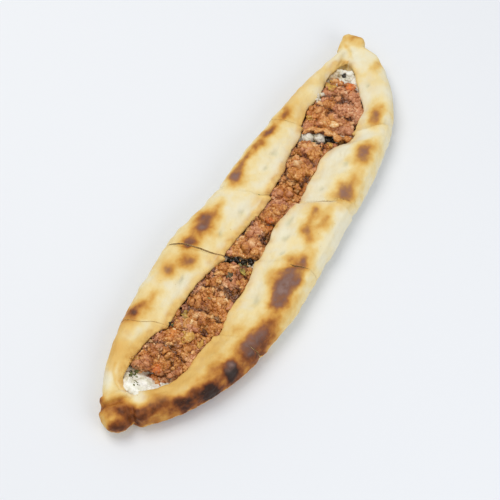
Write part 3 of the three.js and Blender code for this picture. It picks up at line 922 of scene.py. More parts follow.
def makeCrustMaterial(finish):
    material, tree, shader, place = newMaterial("bakedCrust")
    broad = addPatches(tree, place, *finish["broadPatches"])
    small = addPatches(tree, place, *finish["smallPatches"])
    plain, scorch, gold, dent = [addAttribute(tree, name) for name in ("bake", "scorch", "gold", "dent")]
    bake = addMath(tree, "ADD", plain, addMath(tree, "MULTIPLY", scorch, finish["scorchBrowning"]))
    flecks = addMath(tree, "MULTIPLY_ADD", small, finish["fleckBrowning"], -0.5 * finish["fleckBrowning"])
    flecks = addMath(tree, "MULTIPLY", flecks, addMath(tree, "ADD", bake, 0.25))
    bake = addMath(tree, "ADD", bake, flecks)
    crust = addRamp(tree, bake, finish["browning"])
    butter = addBlend(tree, small, *finish["butter"])
    crust = addMix(tree, addMath(tree, "MULTIPLY", gold, finish["butterShare"]), crust, butter)
    char = addBlend(tree, small, *finish["charred"])
    char = addMix(tree, addRange(tree, plain, *finish["burntFrom"]), char, colour(finish["burnt"]))
    charred = addRange(tree, scorch, *finish["charredFrom"])
    charred = addMath(tree, "MULTIPLY", charred, addRange(tree, small, 0.1, 0.9, 0.6, 0.95))
    crust = addMix(tree, charred, crust, char)
    flour = addRange(tree, bake, *finish["flourFrom"], 0.0, finish["flourShare"])
    flour = addMath(tree, "MULTIPLY", broad, flour)
    flour = addMath(tree, "MULTIPLY", flour, addMath(tree, "SUBTRACT", 1.0, gold, clamp=True))
    crust = addMix(tree, flour, crust, colour(finish["flour"]))
    dented = addMath(tree, "MULTIPLY", dent, finish["dentShare"])
    crust = addMix(tree, dented, crust, colour(finish["dent"]))
    cells = addNode(tree, "TexVoronoi", inputs={"Vector": place, "Scale": finish["pinholeScale"]})
    pinholes = addRange(tree, cells.outputs["Distance"], *finish["pinholeEdge"])
    pinholes = addMath(tree, "MULTIPLY", pinholes, addRange(tree, small, 0.6, 0.9, 0.0, 0.5))
    crust = addMix(tree, pinholes, crust, colour(finish["pinholes"]))
    tree.links.new(crust, shader.inputs["Base Color"])
    shader.inputs["Roughness"].default_value = finish["roughness"]
    shader.inputs["Specular IOR Level"].default_value = finish["specular"]
    addRelief(tree, shader, place, **finish["relief"])
    return material


crustMaterial = makeCrustMaterial(crustFinish)
# the cut faces' colour is darkened, as painted shade in the knife gaps
gapShadedCrumbMaterial = makeMottledMaterial("doughCrumbWithGapShade", "b08c58", "d8bd88", gapShadedCrumbFinish)
dough = makeDough(doughShape)
for piece in dough:
    piece.data.materials.append(crustMaterial)
    piece.data.materials.append(gapShadedCrumbMaterial)
print("dough is shaped, baked and cut")

# what is scattered: a few uneven lumps of each kind, copied to many places


def makeLumps(count, roughness, detail, seed):  # uneven lumps of about 1 mm radius, as arrays
    draw = random.Random(seed)
    lumps = []
    for _ in range(count):
        bm = bmesh.new()
        bmesh.ops.create_icosphere(bm, subdivisions=detail, radius=1.0)
        offset = Vector([draw.uniform(0, 50) for _ in range(3)])
        for v in bm.verts:
            swell = noise.noise(v.co * 1.1 + offset) + 0.5 * noise.noise(v.co * 2.7 + offset)
            v.co *= 1 + roughness * swell
        corners = np.array([v.co for v in bm.verts])
        faces = np.array([[v.index for v in f.verts] for f in bm.faces])
        lumps.append((corners, faces))
        bm.free()
    return lumps


def scattered(name, spots):  # spots are (lump, place in mm, 3x3 turn and stretch, values by attribute)
    corners, faces, values, count = [], [], {}, 0
    for (shape, polygons), place, turn, given in spots:
        corners.append(shape @ turn.T + place)
        faces.append(polygons + count)
        count += len(shape)
        for key, value in given.items():
            values.setdefault(key, []).append(np.broadcast_to(value, len(shape)))
    mesh = bpy.data.meshes.new(name)
    mesh.from_pydata((np.concatenate(corners) * mm).tolist(), [], np.concatenate(faces).tolist())
    storeValues(mesh, **{key: np.concatenate(parts) for key, parts in values.items()})
    mesh.shade_smooth()
    return objectOf(name, mesh)


def surfacesOf(pieces):  # what things are dropped on
    bpy.context.view_layer.update()
    graph = bpy.context.evaluated_depsgraph_get()
    return [BVHTree.FromObject(piece, graph) for piece in pieces]


def firstHit(surfaces, start, way):  # the nearest surface met, as place and normal
    hits = [surface.ray_cast(start, way) for surface in surfaces]
    hits = [hit for hit in hits if hit[0] is not None]
    return min(hits, key=lambda hit: hit[3])[:2] if hits else (None, None)


def dropOn(surfaces, x, y):  # the place in mm and the normal under x, y
    place, normal = firstHit(surfaces, Vector((x, y, 60)) * mm, Vector((0, 0, -1)))
    return (None, None) if place is None else (np.array(place) / mm, normal)


def turned(draw, normal, stretch, lean=0.5):  # stretches a lump and turns it to lie on a slope
    upright = Vector((0, 0, 1)).rotation_difference(normal).to_matrix()
    spin = Matrix.Rotation(draw.uniform(0, math.tau), 3, "Z")
    tilt = Matrix.Rotation(draw.uniform(-lean, lean), 3, "X")
    return np.array(upright @ spin @ tilt @ Matrix.Diagonal(stretch))


def finishPiece(piece, slot, materials, node=None):
    for material in materials:
        piece.data.materials.append(material)
    if node:
        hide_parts(node)
    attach(piece, "root")


# cheese

cheeseShape = {
    "voxel": 0.7,
    "smoothing": 3,
    "lumpDepth": 0.9,
    "lumpSize": 6.0,
    "curdDepth": 0.4,
    "curdSize": 2.2,
    # swollen places: x, y, width and height
    "swellings": [(-168, 15, 16, 2.4), (-160, 24, 12, 1.0), (168, 16, 12, 1.6), (160, 10, 9, 0.8)],
    # places where it has run out against the dough: x, y, width and how far along x
    "runs": [(-168, 18, 13, -2.6)],
    "stainRagged": 0.35,  # how uneven the stains' outlines are
}

cheeseFinish = {
    "patches": (190.0, 0.3, 0.7),
    "curd": [(0.0, "dcd9c3"), (0.5, "efede1"), (1.0, "f7f6ef")],
    "juice": ("8a6a34", "c2a468"),
    "roughness": 0.4,
    "relief": {"fine": 1400.0, "coarse": 420.0, "share": 0.6, "strength": 0.4, "depth": 0.5},
}

# where fat and juice have run over the cheese, with the wide stain at x -36 partly painted shade in the
# knife gap there: x, y, width and strength
cheeseStainsAndGapShade = [
    (-147, 18, 9, 0.7), (-147, 8, 6, 0.7), (-146, 0, 6, 0.7), (-152, 26, 8, 0.75), (-36, 3, 34, 0.75),
    (90, -6, 14, 0.85), (97, -16, 14, 0.85), (93, 4, 8, 0.4), (150, 18, 12, 0.8), (150, 4, 10, 0.8),
    (153, 22, 10, 0.75), (162, 8, 6, 0.3), (158, 16, 8, 0.8), (158, 21, 9, 0.8), (167, 13.6, 7, 0.9),
    (172, 16, 6, 0.6), (160, 12, 4, 0.8),
]


def makeCheese(name, shape):
    piece = copyOfNode("cheese_" + name, "white_cheese_" + name)
    remesh(piece, shape["voxel"], shape["smoothing"])
    mesh = piece.data
    places, normals = placesOf(mesh), normalsOf(mesh)
    lift = shape["lumpDepth"] * uneven(places, shape["lumpSize"], 41)
    lift += shape["curdDepth"] * uneven(places, shape["curdSize"], 42)
    for x, y, width, height in shape["swellings"]:
        lift += height * spotAt(places, x, y, width)
    moved = places + normals * (lift * smoothStep(-0.4, 0.2, normals[:, 2]))[:, None]
    for x, y, width, run in shape["runs"]:
        moved[:, 0] += run * spotAt(places, x, y, width)
    setPlaces(mesh, moved)
    stain = np.zeros(len(places))
    for x, y, width, strength in cheeseStainsAndGapShade:
        off = np.hypot(places[:, 0] - x, places[:, 1] - y) * 2 / width
        off += shape["stainRagged"] * uneven(places, 3.5, 43)
        stain = np.maximum(stain, strength * np.exp(-np.maximum(off, 0) ** 2))
    storeValues(mesh, stain=stain)
    mesh.shade_smooth()
    return piece


def makeCheeseMaterial(finish):
    material, tree, shader, place = newMaterial("whiteCheese")
    patches = addPatches(tree, place, *finish["patches"])
    curd = addRamp(tree, patches, finish["curd"])
    juice = addBlend(tree, patches, *finish["juice"])
    curd = addMix(tree, addAttribute(tree, "stain"), curd, juice)
    tree.links.new(curd, shader.inputs["Base Color"])
    shader.inputs["Roughness"].default_value = finish["roughness"]
    addRelief(tree, shader, place, **finish["relief"])
    return material


cheeseMaterial = makeCheeseMaterial(cheeseFinish)
cheese = {}
for name in slices:
    cheese[name] = makeCheese(name, cheeseShape)
    finishPiece(cheese[name], "cheese", [cheeseMaterial], "cheese_" + name)
print("cheese is laid")

# minced meat: a rough core and the crumbs on it

minceShape = {
    "voxel": 0.5,
    "smoothing": 2,
    # for each slice: size and depth of the clusters, size of the lumps, space between loose crumbs
    # and between the fine ones
    "slices": {
        "1": (8.5, 1.8, 3.5, 3.1, 2.3),
        "2": (9.5, 2.0, 3.7, 3.1, 2.3),
        "3": (12.0, 2.7, 4.2, 3.8, 3.0),
        "4": (14.0, 3.0, 5.0, 4.4, 3.4),
        "5": (13.0, 3.0, 4.8, 4.1, 3.2),
    },
    "sideSwell": 0.8,  # closes the gap along the walls
    "rimShade": 2.6,  # the meat darkens this close to the straighter wall
    "rimDarkness": 0.66,
    "lumpDepth": 2.0,
    "crumbDepth": 0.7,
    "crumbSize": 1.9,
    "crumbRadius": (0.9, 2.4),
    "gritRadius": (0.35, 0.8),
    "crumbStretch": ((1.0, 1.7), (0.75, 1.05), (0.6, 0.9)),
    "sink": 0.4,
    "toneShares": (0.4, 0.35, 0.15),  # of the lumps, the crumbs and a soft unevenness
    "heightShares": (0.5, 0.3, 0.25),  # of the clusters, the lumps and the crumbs
    "cleftWidth": 1.8,
    "cleftDepth": 0.9,
    "gritShare": 0.35,  # of what has rolled off the heaps
    "steepest": -0.2,  # how far up the ground of a crumb has to face
    "slant": -0.38,  # of the ends that lie at a knife cut
    "outermost": 140,  # what lies farther out isn't at a knife cut
    "endReach": 9.0,  # how much of a heap's length its slumped end takes
}

# how each heap's ends slump, near and far: how far the end is pushed out, how much farther
# its foot runs, and how ragged it is
heapEnds = {
    "1": ((-5.0, 3.0, 1.6), (0.0, 0.3, 0.5)),
    "2": ((0.0, 0.3, 0.5), (0.0, 1.0, 0.8)),
    "3": ((0.0, 0.4, 0.8), (0.0, 0.3, 0.5)),
    "4": ((0.0, 0.3, 0.5), (-4.0, 2.5, 1.0)),
    "5": ((0.0, 1.5, 1.0), (-1.0, 3.0, 1.1)),
}

# clefts across the meat: routes
minceClefts = [
    [(39, 9), (42, 2), (45, -8)], [(-70, 14), (-66, 4), (-70, -8)],
    [(118, 20), (121, 8), (117, -4), (120, -14)], [(66, 12), (70, 2), (66, -8)],
    [(2, 7), (-1, 0), (3, -7)], [(-128, 22), (-126, 8), (-131, -4)], [(-92, 16), (-88, 4), (-91, -12)],
    [(132, 16), (136, 6), (133, -8)],
]

# where the meat is stained by tomato and fat: x, y, width and strength
minceStains = [
    (-153, 15, 16, 1.0), (-153, 3, 14, 0.9), (-146, 9, 12, 0.7), (-117, 14, 14, 0.7), (-112, 2, 10, 0.6),
    (-2, -3, 14, 0.8), (148, 1, 14, 1.0), (146, 13, 14, 0.7), (106, 13, 14, 0.8), (98, -4, 16, 0.6),
    (120, -12, 12, 0.5), (-84, -8, 14, 0.4), (-60, 12, 14, 0.3), (30, 4, 16, 0.5), (-140, 22, 12, 0.5),
]

# loose meat that has rolled off a heap: slice, route, width and number of crumbs
minceSpills = [
    ("1", [(-147, 25), (-148, 18), (-149, 11), (-149, 4), (-146, -2)], 2.8, 110),
    ("5", [(149, 20), (150, 12), (149, 4), (148, -2)], 3.5, 80),
    ("3", [(-36, 9), (-33, 0), (-30, -7)], 2.0, 26),
    ("2", [(-43, 11), (-42, 2), (-40, -8)], 2.5, 50),
    ("4", [(82, 12), (84, 2), (86, -6)], 2.0, 24),
    ("4", [(92, -12), (98, -15), (102, -20)], 4.0, 60),
    ("5", [(101, -16), (104, -22)], 3.0, 24),
]

# larger lumps: x, y, radius and tone
minceChunks = [
    (-22, 1, 4.2, 0.95), (-29, 5, 3.0, 0.8), (-60, 2, 2.6, 0.8), (-78, -4, 2.6, 0.9), (60, 3, 3.8, 0.9),
    (112, 6, 3.6, 0.8), (109, -3, 3.4, 0.95), (12, 0, 3.2, 0.85), (76, 4, 3.6, 0.8), (84, 2, 3.0, 0.9),
]


def clustersAt(places, size, shape):  # near 1 on a cluster of crumbs, 0 in the clefts; and its tone
    big, tone = lumpsAt(places * (1, 1, 0.4), size, 51)
    crest = smoothStep(0.0, 0.65, big)
    for route in minceClefts:
        cleft = np.exp(-(distanceTo(places, route) / shape["cleftWidth"]) ** 2)
        crest *= 1 - shape["cleftDepth"] * cleft
    return crest, tone


def rimShadow(places, shape):
    return 1 - shape["rimDarkness"] * smoothStep(shape["rimShade"], 0.2, -pastRim(places, 1))


def slumped(places, ends, shape):  # the ends of a heap run out at the foot and are ragged
    low, high = places.min(0), places.max(0)
    drop = 1 - smoothStep(low[2] + 2, high[2] - 2, places[:, 2])
    moved = places.copy()
    for side, (push, run, ragged) in zip((-1, 1), ends):
        slant = shape["slant"] if min(abs(low[0]), abs(high[0])) < shape["outermost"] else 0.0
        across = (places[:, 0] - slant * places[:, 1]) * side
        near = smoothStep(across.max() - shape["endReach"], across.max() - 1, across)
        moved[:, 0] += side * near * (push + run * drop + ragged * uneven(places, 6, 60 + side))
    return moved


def stainAt(places):
    stain = 0.12 + 0.12 * uneven(places, 14, 55)
    for x, y, width, strength in minceStains:
        stain = np.maximum(stain, strength * spotAt(places, x, y, width))
    return stain


def makeMinceCore(name, shape):
    clusterSize, clusterDepth, lumpSize = shape["slices"][name][:3]
    piece = copyOfNode("meat_" + name, "mince_core_" + name)
    remesh(piece, shape["voxel"], shape["smoothing"])
    mesh = piece.data
    setPlaces(mesh, slumped(placesOf(mesh), heapEnds[name], shape))
    places, normals = placesOf(mesh), normalsOf(mesh)
    crest, clusterTone = clustersAt(places, clusterSize, shape)
    lump, lumpTone = lumpsAt(places, lumpSize, 53)
    crumb, crumbTone = lumpsAt(places, shape["crumbSize"], 63)
    lift = clusterDepth * (crest - 0.75)
    lift += shape["lumpDepth"] * (lump - 0.6) + shape["crumbDepth"] * (crumb - 0.5)
    upper = smoothStep(-0.1, 0.5, normals[:, 2])
    lift = lift * upper + shape["sideSwell"] * (1 - upper) * smoothStep(9, 12, places[:, 2])
    setPlaces(mesh, places + normals * lift[:, None])
    tones = (lumpTone, crumbTone, uneven(places, 9, 54))
    heights = (crest, lump, crumb)
    # the stored height drives painted shade in the material: low places come out darker, and so does the
    # strip under the straighter wall's lip
    height = sum(share * part for share, part in zip(shape["heightShares"], heights))
    storeValues(
        mesh,
        tone=sum(share * part for share, part in zip(shape["toneShares"], tones)),
        height=np.clip(height, 0, 1) * rimShadow(places, shape),
        stain=stainAt(places),
        pale=clusterTone,
    )
    mesh.shade_smooth()
    return piece


def openSpots(core, spacing, steepest, draw):  # places and normals where no dough covers the core
    places, normals = placesOf(core.data), normalsOf(core.data)
    order = np.array(draw.sample(range(len(places)), len(places)))
    order = order[normals[order, 2] > steepest]
    cells = np.floor(places[order] / spacing).astype(int)
    _, first = np.unique(cells, axis=0, return_index=True)
    for index in order[first]:
        place = places[index]
        start = Vector(place) * mm + Vector(normals[index]) * mm
        if firstHit(doughSurfaces, start, Vector((0, 0, 1)))[0] is None:
            yield place, Vector(normals[index])


def radiiFor(found, span, draw):  # mostly small, with a few large ones
    smallest, largest = span
    return [smallest + (largest - smallest) * draw.random() ** 2 for _ in found]


def crumbsAt(lumps, found, radii, draw, shape, name, tone=None):  # found are places and normals
    if not found:
        return []
    places = np.array([place for place, _ in found])
    crests, pales = clustersAt(places, shape["slices"][name][0], shape)
    rows = zip(found, radii, crests, pales, rimShadow(places, shape), stainAt(places))
    spots = []
    for (place, normal), radius, crest, pale, shade, stain in rows:
        stretch = [radius * draw.uniform(*span) for span in shape["crumbStretch"]]
        turn = turned(draw, normal, stretch)
        corners, faces = lumps[draw.randrange(len(lumps))]
        rise = (corners @ turn.T)[:, 2] / radius
        # the stored height also darkens each crumb's lower side and low-lying crumbs, as painted shade
        values = {
            "tone": draw.random() if tone is None else tone,
            "height": np.clip((0.7 + 0.3 * rise) * (0.35 + 0.65 * crest) * shade, 0, 1),
            "stain": stain * draw.uniform(0.4, 1.1),
            "pale": pale,
        }
        spots.append(((corners, faces), place - np.array(normal) * shape["sink"] * radius, turn, values))
    return spots


def makeMinceCrumbs(name, core, lumps, grit, draw, shape):
    spots = []
    crumbSpace, gritSpace = shape["slices"][name][3:]
    for kind, spacing, span in ((lumps, crumbSpace, "crumbRadius"), (grit, gritSpace, "gritRadius")):
        found = list(openSpots(core, spacing, shape["steepest"], draw))
        spots += crumbsAt(kind, found, radiiFor(found, shape[span], draw), draw, shape, name)
    low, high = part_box("meat_" + name)
    surfaces = surfacesOf([core])
    for x, y, radius, tone in minceChunks:
        place, normal = dropOn(surfaces, x, y)
        if place is not None and low.x < x * mm < high.x:
            spots += crumbsAt(lumps, [(place, normal)], [radius], draw, shape, name, tone)
    return scattered("mince_crumbs_" + name, spots)


def alongRoute(route):  # a route's points as an array, and how far along it each lies
    ends = np.array(route)
    return ends, np.cumsum([0, *np.hypot(*np.diff(ends, axis=0).T)])


def makeMinceSpills(lumps, grit, draw, shape):
    surfaces = surfacesOf([*cheese.values(), *meat.values()])
    kinds = [(lumps, "crumbRadius", 1 - shape["gritShare"]), (grit, "gritRadius", shape["gritShare"])]
    spots = []
    for name, route, width, count in minceSpills:
        ends, lengths = alongRoute(route)
        for kind, span, share in kinds:
            found = []
            for _ in range(round(share * count)):
                along = draw.uniform(0, lengths[-1])
                x = np.interp(along, lengths, ends[:, 0]) + draw.gauss(0, 0.5 * width)
                y = np.interp(along, lengths, ends[:, 1]) + draw.uniform(-1, 1)
                place, normal = dropOn(surfaces, x, y)
                if place is not None and normal.z > 0.3:
                    found.append((place, normal))
            spots += crumbsAt(kind, found, radiiFor(found, shape[span], draw), draw, shape, name)
    return scattered("mince_spills", spots)


# the crisp frilled edge where the meat was torn by the knife
frill = {
    "route": [(94, 15), (98.5, 8), (101, 1), (102, -5), (100.5, -11), (101.5, -17), (106, -23)],
    "bottom": 9.5,
    "top": 19.2,
    "foot": 2.5,  # how far the bottom stands back from the route
    "lean": 7.5,  # how far the top hangs over the gap
    "waveLength": 9.5,
    "waveDepth": 1.9,
    "waveRise": 0.8,
    "jag": 0.7,  # how ragged the top is
    "droop": 2.4,  # how far the top falls at both ends
    "thickness": 3.0,
    "steps": 110,
    "rows": 10,
    "voxel": 0.35,
    "smoothing": 10,
    "lumpSize": 2.8,
    "lumpDepth": 0.9,
    "grainDepth": 0.25,
}


def frillPlace(along, up, ends, lengths, setup):  # where the sheet is, this far along and this high
    x, y = (np.mean([np.interp(along + d, lengths, ends[:, k]) for d in (-2, 0, 2)]) for k in (0, 1))
    bend = 2.0 * noise.noise(Vector((along / 6, 3.0, 0)))
    sway = math.sin(along * math.tau / setup["waveLength"] + bend)
    jag = setup["jag"] * noise.noise(Vector((along / 2.5, 7.0, 0)))
    x += setup["foot"] - setup["lean"] * up * up - setup["waveDepth"] * sway * up
    rise = setup["top"] - setup["bottom"] + jag + setup["waveRise"] * sway
    z = setup["bottom"] + rise * math.sin(0.5 * math.pi * up)
    return Vector((x, y, z - setup["droop"] * (2 * along / lengths[-1] - 1) ** 6))


def makeFrill(setup):
    ends, lengths = alongRoute(setup["route"])
    bm = bmesh.new()
    bmesh.ops.create_grid(bm, x_segments=setup["steps"], y_segments=setup["rows"], size=0.5)
    for v in bm.verts:
        v.co = frillPlace((v.co.x + 0.5) * lengths[-1], v.co.y + 0.5, ends, lengths, setup) * mm
    bmesh.ops.solidify(bm, geom=bm.faces[:], thickness=setup["thickness"] * mm)
    bmesh.ops.recalc_face_normals(bm, faces=bm.faces)
    piece = objectFrom("mince_frill", bm)
    remesh(piece, setup["voxel"], setup["smoothing"])
    mesh = piece.data
    places, normals = placesOf(mesh), normalsOf(mesh)
    lump, tone = lumpsAt(places, setup["lumpSize"], 56)
    lift = setup["lumpDepth"] * (lump - 0.5) + setup["grainDepth"] * uneven(places, 1.1, 57)
    setPlaces(mesh, places + normals * lift[:, None])
    # painted light: the tone rises towards the top as a painted highlight along the crest, and the stored
    # height falls towards the bottom as painted shade beneath it
    storeValues(
        mesh,
        tone=0.1 + 0.55 * tone + 0.45 * smoothStep(15, 19, places[:, 2]),
        height=smoothStep(9.5, 16.5, places[:, 2]) * (0.45 + 0.55 * lump),
        stain=0.45 + 0.3 * uneven(places, 5, 58),
        pale=0.3 * tone,
    )
    mesh.shade_smooth()
    return piece


minceFinish = {
    "patches": (80.0, 0.35, 0.65),
    "flecks": (620.0, 0.25, 0.75),
    "brown": [(0.0, "884612"), (0.3, "b66f2c"), (0.55, "d19048"), (0.8, "e8b674"), (1.0, "f8deb0")],
    "pink": [(0.0, "a86a54"), (0.6, "d4987c"), (1.0, "f2cdb4")],
    "toneShare": 0.5,
    "mottleShare": 0.3,
    "darker": 0.06,
    "pinkFrom": (0.4, 0.95),
    "pinkShare": 0.55,
    "fat": ("ac4f18", "de923e"),
    "fatShare": 0.8,
    # painted shade: the meat's hollows, the crumbs' lower sides and the strip under the straighter wall's
    # lip are darkened towards this colour
    "clefts": "4c1e08",
    "cleftShadeFrom": (0.2, 0.78),
    "cleftShadeShare": 0.95,
    "roughness": (0.25, 0.42),  # in the clefts and on the crests
    "coat": 0.2,
    "coatRoughness": 0.2,
    "relief": {"fine": 1500.0, "coarse": 600.0, "share": 0.5, "strength": 0.5, "depth": 0.5},
}


def makeMinceMaterial(finish):
    material, tree, shader, place = newMaterial("cookedMince")
    patches = addPatches(tree, place, *finish["patches"])
    flecks = addPatches(tree, place, *finish["flecks"])
    tone, pale, stain, height = [addAttribute(tree, name) for name in ("tone", "pale", "stain", "height")]
    flecked = addMath(tree, "MULTIPLY", flecks, finish["mottleShare"])
    mixed = addMath(tree, "MULTIPLY_ADD", tone, finish["toneShare"], flecked)
    mixed = addMath(tree, "SUBTRACT", mixed, finish["darker"])
    mixed = addMath(tree, "MULTIPLY_ADD", patches, finish["mottleShare"], mixed)
    mince = addRamp(tree, mixed, finish["brown"])
    pinkness = addRange(tree, pale, *finish["pinkFrom"], 0.0, finish["pinkShare"])
    mince = addMix(tree, pinkness, mince, addRamp(tree, mixed, finish["pink"]))
    fatness = addMath(tree, "MULTIPLY", stain, finish["fatShare"], clamp=True)
    mince = addMix(tree, fatness, mince, addBlend(tree, flecks, *finish["fat"]))
    # painted shade: the lower the stored height, the closer the meat comes to the cleft colour
    depth = addRange(tree, height, *finish["cleftShadeFrom"], finish["cleftShadeShare"], 0.0)
    mince = addMix(tree, depth, mince, colour(finish["clefts"]))
    tree.links.new(mince, shader.inputs["Base Color"])
    tree.links.new(addRange(tree, height, 0.1, 0.9, *finish["roughness"]), shader.inputs["Roughness"])
    shader.inputs["Coat Weight"].default_value = finish["coat"]
    shader.inputs["Coat Roughness"].default_value = finish["coatRoughness"]
    addRelief(tree, shader, place, **finish["relief"])
    return material


doughSurfaces = surfacesOf(dough)
minceMaterial = makeMinceMaterial(minceFinish)
minceLumps = makeLumps(16, 0.75, 2, 3)
minceGrit = makeLumps(10, 0.6, 1, 4)
draw = random.Random(7)
meat = {}
for name in slices:
    meat[name] = makeMinceCore(name, minceShape)
    crumbs = makeMinceCrumbs(name, meat[name], minceLumps, minceGrit, draw, minceShape)
    for piece in (meat[name], crumbs):
        finishPiece(piece, "meat", [minceMaterial], "meat_" + name)
finishPiece(makeMinceSpills(minceLumps, minceGrit, draw, minceShape), "meat", [minceMaterial])
finishPiece(makeFrill(frill), "meat", [minceMaterial])
print("meat is heaped")

# vegetables

vegetables = {
    # node: (slot, flesh colour, darker colour, swell, how far it sinks in)
    "tomato_far": ("tomato", "ec8c38", "c4581a", 1.5, 0.5),
    "tomato_mid": ("tomato", "dc8440", "a8501c", 1.3, 1.2),
    "tomato_heel": ("tomato", "e69a48", "bb6420", 1.5, 1.4),
    "tomato_near": ("tomato", "dc8034", "a84c18", 1.5, 1.4),
    "pepper_far": ("green_pepper", "dcae4c", "a37a2a", 1.5, 0.8),
    "pepper_mid": ("green_pepper", "b49c44", "7c6824", 1.2, 0.9),
    "pepper_heel": ("green_pepper", "c09a48", "86641f", 1.4, 1.2),
    "onion_heel": ("onion", "dcab54", "a87428", 1.6, 1.0),
    "olive_cut": ("olive", "5a3420", "2c160c", 1.0, 2.4),
    "herb_mid": ("herb", "6c5c38", "3c3220", 1.3, 1.1),
}

fleshShape = {
    "voxel": 0.4,
    "smoothing": 3,
    "lumps": [(3.5, 0.9), (1.5, 0.5)],  # size and depth
}

fleshFinish = {
    "patches": (340.0, 0.3, 0.7),
    "roughness": 0.3,
    "relief": {"fine": 1800.0, "coarse": 700.0, "share": 0.5, "strength": 0.4, "depth": 0.4},
}


def makeVegetable(node, swell, sink, shape):
    piece = copyOfNode(node, node + "_bit")
    remesh(piece, shape["voxel"], shape["smoothing"])
    places, normals = placesOf(piece.data), normalsOf(piece.data)
    centre = (places.min(0) + places.max(0)) / 2
    lift = sum(depth * uneven(places, size, 61 + k) for k, (size, depth) in enumerate(shape["lumps"]))
    swollen = centre + (places - centre) * np.array([swell, swell, 1.0])
    setPlaces(piece.data, swollen + normals * lift[:, None] - np.array([0, 0, sink]))
    piece.data.shade_smooth()
    return piece


for node, (slot, light, dark, swell, sink) in vegetables.items():
    flesh = makeMottledMaterial(node + "Flesh", dark, light, fleshFinish)
    finishPiece(makeVegetable(node, swell, sink, fleshShape), slot, [flesh], node)


def tuckIn(count, spread, radius):  # crumbs of meat that have stuck to the vegetables
    made = surfacesOf([bpy.data.objects[node + "_bit"] for node in vegetables] + list(meat.values()))
    spots = []
    for node in vegetables:
        low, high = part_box(node)
        middle = (low + high) / 2 / mm
        reach = (high - low) / 2 / mm
        name = next((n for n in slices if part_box("meat_" + n)[1].x > middle.x * mm), slices[-1])
        found = []
        for _ in range(count):
            around = draw.uniform(0, math.tau)
            out = draw.uniform(0.8, spread)
            x, y = middle.x + out * reach.x * math.cos(around), middle.y + out * reach.y * math.sin(around)
            place, normal = dropOn(made, x, y)
            if place is not None and normal.z > 0.3:
                found.append((place, normal))
        radii = [draw.uniform(*radius) for _ in found]
        spots += crumbsAt(minceLumps, found, radii, draw, minceShape, name)
    return scattered("stuck_crumbs", spots)


finishPiece(tuckIn(9, 1.6, (0.6, 1.3)), "meat", [minceMaterial])
print("vegetables are placed")
